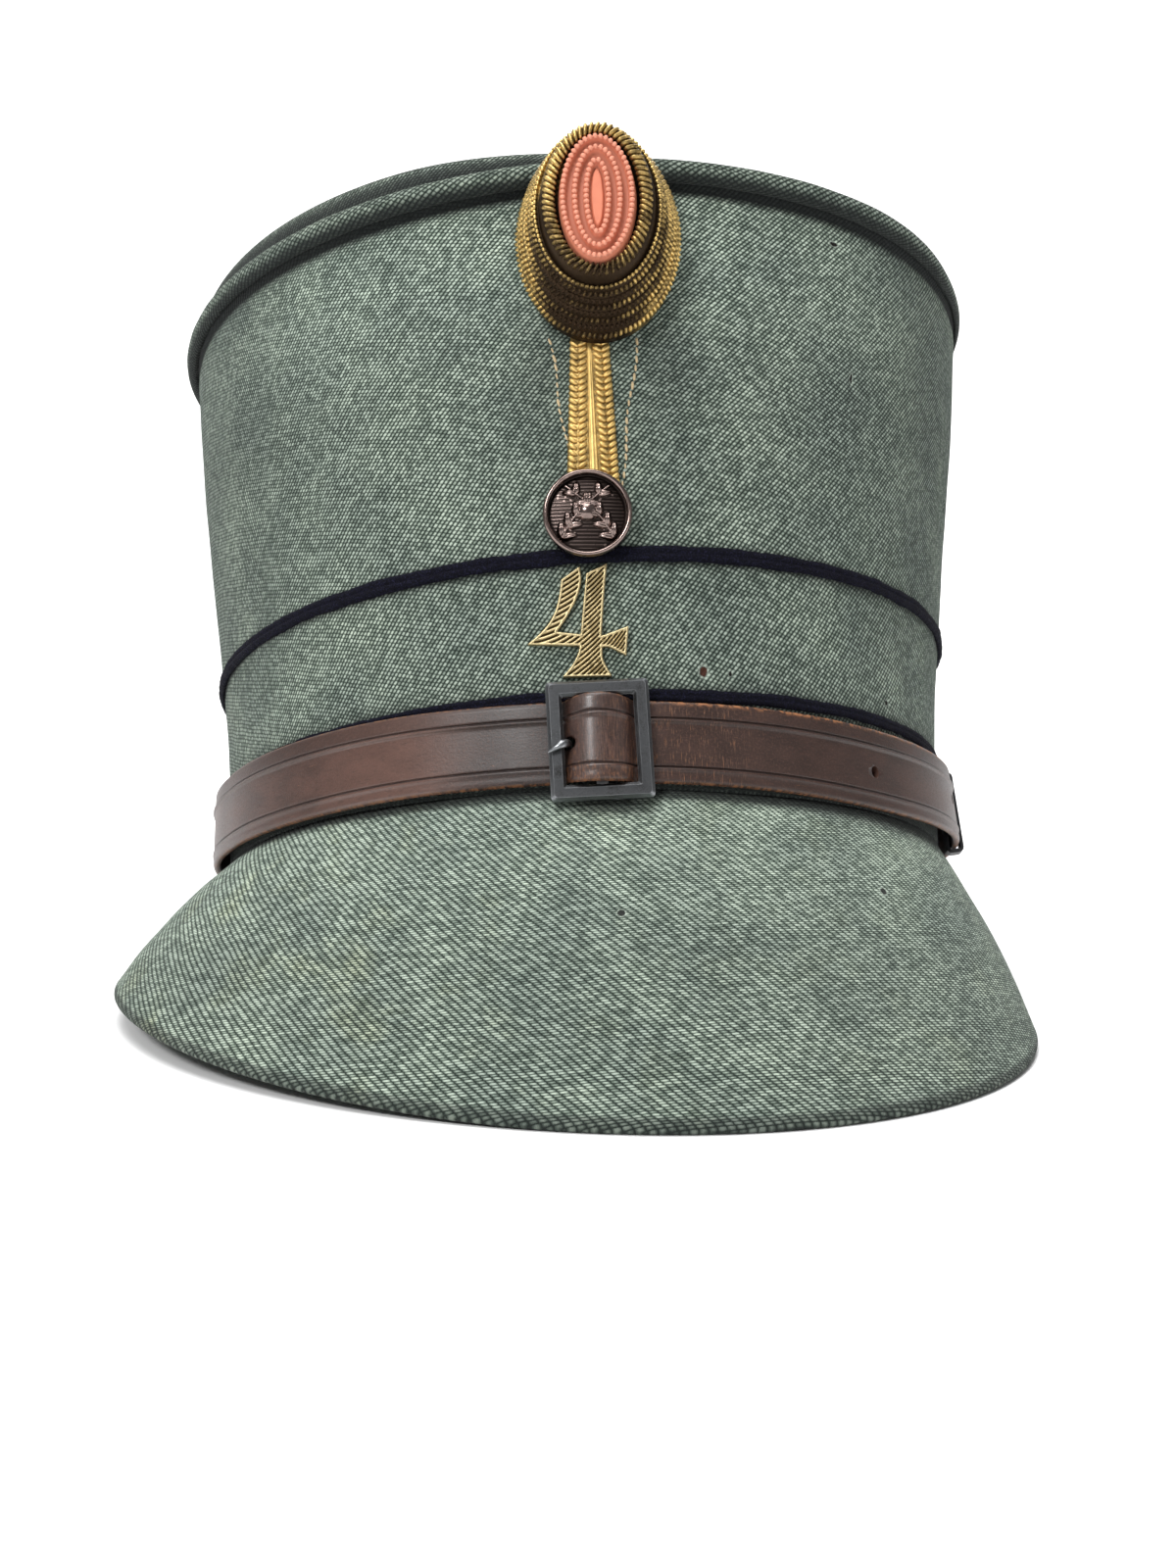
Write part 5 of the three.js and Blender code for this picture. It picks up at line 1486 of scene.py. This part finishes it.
class KEPI_OT_button(bpy.types.Operator):
    """Builds the dark button with its rolled rim and leafy relief"""
    bl_idname = "kepi.button"
    bl_label = "Button"

    def execute(self, context):
        bronze = worn_metal("dark_bronze", toned(colours().bronze), 0.12, (0.012, 0.009, 0.008), 0.25,
                            relief=0.012, size=0.8, hollows=True)
        radius, roll = BUTTON_DIAMETER / 2, 0.58
        field = radius - 2 * roll - 0.15
        profile = [(0, 0), (radius - 0.9, 0), (radius - 0.25, 0.3), (radius, 0.9)]
        rolls = np.radians(np.linspace(-10, 195, 14))
        profile.extend((radius - roll + roll * math.cos(a), 2.1 + 0.95 * math.sin(a)) for a in rolls)
        profile.append((field + 0.25, 1.3))
        across = np.linspace(field, 0, 70)
        radii = np.concatenate([[r for r, _ in profile], across])
        dome = 1.35 + 0.95 * (1 - (across / field) ** 2)
        heights = np.concatenate([[h for _, h in profile], dome])
        angles = all_round(280)
        x = radii * np.cos(angles)[:, None]
        y = radii * np.sin(angles)[:, None]
        inside = smoothstep(field - radii, 0, 0.6) * (np.arange(len(radii)) >= len(profile))
        spread = 1.32
        relief = 1.2 * button_relief(x / spread, y / spread)
        z = heights + relief * inside
        in_field = np.arange(len(radii)) >= len(profile) - 3
        masks = {"hollow": in_field * (1 - smoothstep(relief * inside, 0.05, 0.5)) * 0.8}
        flat = np.stack([x, y, z], -1)
        seat = GAP + max(UPPER_PIPING["thickness"], LOOP_THICKNESS) + GAP
        points = on_front(flat.reshape(-1, 3), BUTTON_SHIFT, BUTTON_RISE, seat).reshape(flat.shape)
        piece = grid_piece("button_bronze", points, bronze, close_rows=True, merge=1e-6, masks=masks)
        settle(piece, ["button"])
        return {"FINISHED"}


class KEPI_OT_loop(bpy.types.Operator):
    """Builds the gilt loop: a plain middle between two plaits"""
    bl_idname = "kepi.loop"
    bl_label = "Gilt loop"

    def execute(self, context):
        gilt = tarnished_gilt("gilt_loop", -0.05, 0.42)
        recess = tarnished_gilt("gilt_loop_recess", 0.5)
        rises = np.linspace(LOOP_BOTTOM_RISE, COCKADE_FOOT + COCKADE_TUCK, 60)
        tucked = smoothstep(rises, COCKADE_FOOT - 2, COCKADE_FOOT + 0.5)
        thickness = LOOP_THICKNESS + (LOOP_TUCK_THICKNESS - LOOP_THICKNESS) * tucked
        share = (rises - LOOP_BOTTOM_RISE) / (COCKADE_FOOT - LOOP_BOTTOM_RISE)
        half = (LOOP_BOTTOM_WIDTH + (LOOP_TOP_WIDTH - LOOP_BOTTOM_WIDTH) * share) / 2

        def band(name, low, high, height, material, ridges=0):
            """One strip of the loop between two shares of its width, at the bottom and the top."""
            t = np.linspace(0, 1, 25)
            left = low[0] + (high[0] - low[0]) * share
            right = low[1] + (high[1] - low[1]) * share
            across = left[:, None] + (right - left)[:, None] * t
            grooves = 0.09 * np.abs(np.cos(t * math.pi * ridges)) * (ridges > 0)
            crown = np.clip(1 - (2 * t - 1) ** 6, 0, 1) * height * (1 - grooves)
            turns = turn_at(LOOP_SHIFT + across * half[:, None], rises[:, None])
            front = crown_point(turns, rises[:, None], GAP + thickness[:, None] * (0.08 + crown))
            back = crown_point(turns, rises[:, None], GAP)[:, ::-1]
            return grid_piece(name, np.concatenate([front, back], 1), material, close_columns=True,
                              cap_ends=True)

        pieces = [band("loop_base", (-1, 1), (-1, 1), 0.35, recess),
                  band("loop_middle", (-0.19, 0.32), (-0.17, 0.1), 0.62, gilt, 3)]
        strand = unit_strand("strand", 8, 8, 0.7)
        shown = rises < COCKADE_FOOT + 0.8
        columns = ((-0.8, -0.8, -1), (-0.41, -0.39, 1), (0.5, 0.34, -1), (0.83, 0.77, 1))
        for low, high, side in columns:
            place = low + (high - low) * share
            turns = turn_at(LOOP_SHIFT + place * half, rises)
            path = crown_point(turns, rises, GAP + thickness * 0.52)[shown]
            outward = turn_to_frame(crown_normal(turns[shown]))
            pieces.append(repeated("loop_strands", [(to_frame(path), outward, False)], strand, gilt,
                                   sizes().plait_pitch * 1000, (2.1, 0.98, 1.1), slant=90 + side * 33,
                                   unevenness=0.05))
        bpy.data.objects.remove(strand)
        settle(smoothed(joined("cockade_loop_gilt", pieces)), ["cockade_loop"])
        return {"FINISHED"}


def cockade_point(angle, half_width, half_height, height):
    """Points of the cockade: angle round it, half size of the oval, height off its back."""
    lift = COCKADE_TURN_UP * height / COCKADE_DEPTH
    up = np.sin(angle) * half_height + lift
    rise = COCKADE_RISE + up
    over_loop = GAP + LOOP_TUCK_THICKNESS + GAP
    over_welt = GAP + WELT_THICKNESS + GAP
    share = (rise - COCKADE_FOOT) / (CROWN_HEIGHT - WELT_HEIGHT / 2 - COCKADE_FOOT)
    back = over_loop + (over_welt - over_loop) * share
    aside = COCKADE_TURN_ASIDE * height / COCKADE_DEPTH
    turn = turn_at(COCKADE_SHIFT + np.cos(angle) * half_width - aside, rise)
    return crown_point(turn, rise, back + height)


def body_size(reach):
    """Half width and half height of the cockade's body at a share of the way out."""
    return ((FIELD_WIDTH + (COCKADE_WIDTH - FIELD_WIDTH) * reach) / 2,
            (FIELD_HEIGHT + (COCKADE_HEIGHT - FIELD_HEIGHT) * reach) / 2)


def cockade_path(reach, height, tip):
    """Closed path round the cockade's body in the frame, facing outwards by a tip in degrees."""
    angles = all_round(180)
    path = cockade_point(angles, *body_size(reach), height * COCKADE_DEPTH)
    wider = cockade_point(angles, *body_size(reach + 0.1), height * COCKADE_DEPTH)
    sideways = wider - path
    sideways /= np.linalg.norm(sideways, axis=1, keepdims=True)
    front = np.broadcast_to(crown_normal(turn_at(COCKADE_SHIFT, COCKADE_RISE)), path.shape)
    c, s = math.cos(math.radians(tip)), math.sin(math.radians(tip))
    return to_frame(path), turn_to_frame(front * c + sideways * s), True


def tarnish_shade_and_light_of(points):
    """Share of tarnishing at places of the cockade in the frame, in metres, with painted shade on its lower
    part, painted light on its rim and upper left, and darker sides.
    """
    centre = to_frame(cockade_point(np.array(0.0), 0, 0, 0))
    local = (points - centre) * 1000
    across, up = local[:, 0] / (COCKADE_WIDTH / 2), local[:, 2] / (COCKADE_HEIGHT / 2)
    out = np.hypot(across, up)
    lower = smoothstep(-up, -0.1, 0.5) * (1 - smoothstep(across, 0.1, 0.6))
    lower = lower * (1 - smoothstep(-across, 0.5, 0.85))
    left_side = 0.18 * smoothstep(-across, 0.3, 0.8) * (1 - smoothstep(up, 0.0, 0.5))
    right_side = 0.15 * smoothstep(across, 0.3, 0.7) * (1 - smoothstep(-up, 0.1, 0.5))
    bright_rim = smoothstep(out, 0.8, 0.95) * (0.6 + 0.3 * smoothstep(np.abs(across), 0.2, 0.6))
    upper_left = 0.3 * smoothstep(-across, 0.2, 0.7) * smoothstep(up, 0.0, 0.4)
    return np.clip(0.41 + 0.5 * lower + left_side + right_side - 0.6 * bright_rim - upper_left, 0, 1)


class KEPI_OT_cockade(bpy.types.Operator):
    """Builds the cockade's stepped body, its rope ring and its ribbed bands"""
    bl_idname = "kepi.cockade"
    bl_label = "Cockade"

    def execute(self, context):
        gilt = tarnished_gilt("gilt_cockade")
        recess = tarnished_gilt("gilt_recess", 0.6)
        bright = tarnished_gilt("gilt_bright", -0.25)
        shaded = tarnished_gilt("gilt_shaded", 0.3)
        dull = tarnished_gilt("gilt_dull", 0.04)
        angles = all_round(240)
        reaches = np.concatenate([np.linspace(0, 0.3, 18), np.linspace(0.31, 1, 56)])
        heights = along(COCKADE_STEPS, "reach", "height", reaches) * COCKADE_DEPTH
        width, tall = body_size(reaches)
        seat = COCKADE_DEPTH - FIELD_DEPTH
        middle = cockade_point(angles, 0, 0, seat)[:, None]
        front = cockade_point(angles[:, None], width, tall, heights)
        rim = cockade_point(angles[:, None], width[-1:], tall[-1:], np.zeros(1))
        back = cockade_point(angles, 0, 0, 0)[:, None]
        inner = cockade_point(angles[:, None], width[:1], tall[:1], np.full(1, float(seat)))
        points = np.concatenate([middle, inner, front, rim, back], 1)
        pieces = [grid_piece("cockade_core", points, recess, close_rows=True, merge=1e-6)]
        strand = unit_strand("strand", 10, 8, 0.6)
        rope_pitch, band_pitch = sizes().rope_pitch * 1000, sizes().band_pitch * 1000
        pieces.append(repeated("rope", [cockade_path(0.085, 0.945, 8)], strand, dull, rope_pitch,
                               (2.9, 0.92, 1.8), slant=66, unevenness=0.04, seed=3))
        pieces.append(repeated("beaded_line", [cockade_path(0.4, 0.785, 25)], strand, bright, 0.98,
                               (0.9, 0.75, 0.9), slant=20, unevenness=0.05, seed=4))
        bands = ((0.475, 0.69, 45, 1.35), (0.56, 0.6, 45, 1.2), (0.635, 0.525, 45, 1.35),
                 (0.72, 0.44, 45, 1.2), (0.8, 0.36, 45, 1.35), (0.885, 0.265, 45, 1.2),
                 (0.965, 0.15, 50, 1.6))
        # Every other band takes the shaded copy of the gilt: painted shade.
        for k, (reach, height, tip, length) in enumerate(bands):
            pieces.append(repeated("band", [cockade_path(reach, height, tip)], strand, (gilt, shaded)[k % 2],
                                   band_pitch, (length, 0.82, 1.2), slant=74, unevenness=0.07, seed=5 + k))
        bpy.data.objects.remove(strand)
        whole = smoothed(joined("cockade_body_gilt", pieces))
        # Tarnishing, with painted shade low down and painted light on the rim and upper left.
        paint(whole, "tarnish_and_shade", tarnish_shade_and_light_of(np.array([vert.co for vert in whole.data.vertices])))
        settle(whole, ["cockade_body"])
        return {"FINISHED"}


class KEPI_OT_centre(bpy.types.Operator):
    """Builds the cockade's orange centre with its beaded ovals"""
    bl_idname = "kepi.centre"
    bl_label = "Cockade centre"

    def execute(self, context):
        orange = orange_centre()
        seat = COCKADE_DEPTH - FIELD_DEPTH + GAP
        half_width, half_height = 0.92 * (FIELD_WIDTH / 2 - GAP), 0.97 * (FIELD_HEIGHT / 2 - GAP)
        reaches = np.concatenate([np.linspace(0, 0.98, 90), [0.995, 1.0]])
        width = np.interp(reaches, *zip(*CENTRE_WIDTHS)) * half_width
        tall = np.interp(reaches, *zip(*CENTRE_HEIGHTS)) * half_height
        relief = 0.62 * (1 - smoothstep(reaches, 0.12, 0.2))
        for ring in CENTRE_RINGS:
            relief = relief + np.exp(-((reaches - ring) / 0.055) ** 2)
        height = (0.42 + 0.5 * relief) * (1 - 0.6 * smoothstep(reaches, 0.965, 1.0)) * FIELD_DEPTH
        angles = all_round(160)
        front = cockade_point(angles[:, None], width, tall, seat + height)
        side = cockade_point(angles[:, None], width[-1:], tall[-1:], np.full(1, float(seat)))
        back = cockade_point(angles, 0, 0, seat)[:, None]
        body = grid_piece("centre_plate", np.concatenate([front, side, back], 1), orange, close_rows=True,
                          merge=1e-6, masks={"relief": np.concatenate([relief, [0.3, 0.3]])})
        bead = unit_strand("bead", 8, 6, 1.0)
        beads = []
        normal = turn_to_frame(crown_normal(turn_at(COCKADE_SHIFT, COCKADE_RISE)))
        fine = all_round(120)
        for ring in CENTRE_RINGS:
            ring_width, ring_tall, top = (float(np.interp(ring, reaches, values))
                                          for values in (width, tall, seat + height))
            path = to_frame(cockade_point(fine, ring_width, ring_tall, top))
            beads.append(repeated("beads", [(path, normal, True)], bead, orange, sizes().bead_pitch * 1000,
                                  (0.95, 1.2, 0.9), slant=16, unevenness=0.06, seed=20))
        bpy.data.objects.remove(bead)
        for piece in beads:
            paint(piece, "relief", np.full(len(piece.data.vertices), 0.85))
        whole = smoothed(joined("cockade_centre_orange", [body, *beads]))
        settle(whole, ["cockade_centre"])
        return {"FINISHED"}


class KEPI_OT_stitches(bpy.types.Operator):
    """Builds the two lines of thread beside the gilt loop"""
    bl_idname = "kepi.stitches"
    bl_label = "Stitches"

    def execute(self, context):
        strand = unit_strand("strand", 6, 6, 0.6)
        paths = []
        for start, end in (((-6.9, 97.5), (-3.2, 66.5)), ((10.9, 96.5), (7.0, 63.5))):
            t = np.linspace(0, 1, 40)
            across = start[0] + (end[0] - start[0]) * t + 0.35 * np.sin(t * 9)
            rise = start[1] + (end[1] - start[1]) * t
            turns = turn_at(across, rise)
            path = to_frame(crown_point(turns, rise, 0.12))
            paths.append((path, turn_to_frame(crown_normal(turns)), False))
        piece = repeated("crown_stitches", paths, strand, olive_thread(), sizes().stitch_pitch * 1000,
                         (1.5, 0.54, 0.54), slant=9, unevenness=0.25, seed=9)
        bpy.data.objects.remove(strand)
        settle(piece)
        return {"FINISHED"}


class KEPI_OT_stage(bpy.types.Operator):
    """Builds the floor and backdrop, the lights and the camera"""
    bl_idname = "kepi.stage"
    bl_label = "Stage"

    def execute(self, context):
        self.backdrop()
        self.lights()
        self.camera()
        return {"FINISHED"}

    def backdrop(self):
        shader = Shader("pale_floor")
        material = shader.surfaced(toned(colours().floor), 0.9, Specular_IOR_Level=0.1)
        bend = np.radians(np.linspace(0, 90, 13))
        wall, radius, front, half, top = 2.6, 1.2, -3.5, 5.0, 5.0
        profile = [(front, 0.0), (wall - radius, 0.0)]
        profile += [(wall - radius + radius * math.sin(a), radius - radius * math.cos(a)) for a in bend[1:]]
        profile.append((wall, top))
        points = [(x, y, z) for y, z in profile for x in (-half, half)]
        faces = [(2 * k, 2 * k + 1, 2 * k + 3, 2 * k + 2) for k in range(len(profile) - 1)]
        floor = smoothed(new_piece("studio_floor", points, faces, material))

    def lights(self):
        world = bpy.data.worlds.new("studio")
        world.use_nodes = True
        colour, strength = world.node_tree.nodes["Background"].inputs[:2]
        colour.default_value = (1, 1, 1, 1)
        strength.default_value = 0.27
        bpy.context.scene.world = world
        bpy.context.scene.view_settings.view_transform = "Standard"
        hat, wall = (0, 0, 0.08), (0, 2.6, 1.4)
        for name, place, aim, size, power in (
                ("top", (-0.3, -0.6, 2.3), hat, 1.4, 46), ("key", (-0.82, -1.55, 1.2), hat, 0.45, 26),
                ("fill", (1.5, -1.0, 0.5), hat, 1.0, 1.5), ("back", (0.6, 2.0, 1.6), hat, 1.4, 10),
                ("wall", (0, 0.5, 2.6), wall, 1.6, 70)):
            light = bpy.data.lights.new(name, "AREA")
            light.size, light.energy = size, power
            lamp = add_object(name, light)
            lamp.location = place
            lamp.rotation_euler = (Vector(aim) - Vector(place)).to_track_quat("-Z", "Y").to_euler()

    def camera(self):
        a, e, r = (math.radians(v) for v in (CAMERA_AZIMUTH, CAMERA_ELEVATION, CAMERA_ROLL))
        back = np.array([math.sin(a) * math.cos(e), -math.cos(a) * math.cos(e), math.sin(e)])
        right = np.array([math.cos(a), math.sin(a), 0])
        up = np.cross(back, right)
        turned = right * math.cos(r) + up * math.sin(r)
        upright = up * math.cos(r) - right * math.sin(r)
        data = bpy.data.cameras.new("camera")
        data.sensor_width = SENSOR
        data.lens = FOCAL_PIXELS / IMAGE_HEIGHT * SENSOR
        data.clip_start, data.clip_end = 0.01, 50
        camera = add_object("camera", data)
        axes = np.stack([turn_to_frame(v) for v in (turned, upright, back)], 1)
        place = to_frame(np.array(CAMERA_AIM) + back * CAMERA_DISTANCE)
        camera.matrix_world = Matrix.Translation(place) @ Matrix(axes.tolist()).to_4x4()
        bpy.context.scene.camera = camera


class KEPI_PT_panel(bpy.types.Panel):
    """Lists the kepi's pieces and settings"""
    bl_idname = "KEPI_PT_panel"
    bl_label = "Kepi"
    bl_space_type = "VIEW_3D"
    bl_region_type = "UI"
    bl_category = "Kepi"

    def draw(self, context):
        for operator in OPERATORS:
            self.layout.operator(operator.bl_idname)
        for group in (context.scene.kepi_sizes, context.scene.kepi_colours):
            for key in type(group).__annotations__:
                self.layout.prop(group, key)


OPERATORS = (KEPI_OT_stage, KEPI_OT_crown, KEPI_OT_peak, KEPI_OT_pipings, KEPI_OT_strap, KEPI_OT_buckle,
             KEPI_OT_numeral, KEPI_OT_button, KEPI_OT_loop, KEPI_OT_cockade, KEPI_OT_centre,
             KEPI_OT_stitches)
CLASSES = (KepiSizes, KepiColours, *OPERATORS, KEPI_PT_panel)


def register():
    for item in CLASSES:
        bpy.utils.register_class(item)
    bpy.types.Scene.kepi_sizes = bpy.props.PointerProperty(type=KepiSizes)
    bpy.types.Scene.kepi_colours = bpy.props.PointerProperty(type=KepiColours)


def unregister():
    del bpy.types.Scene.kepi_sizes
    del bpy.types.Scene.kepi_colours
    for item in reversed(CLASSES):
        bpy.utils.unregister_class(item)


def main():
    register()
    for operator in OPERATORS:
        group, name = operator.bl_idname.split(".")
        if getattr(getattr(bpy.ops, group), name)() != {"FINISHED"}:
            raise RuntimeError(f"{operator.bl_label} didn't finish")


if __name__ == "__main__":
    main()
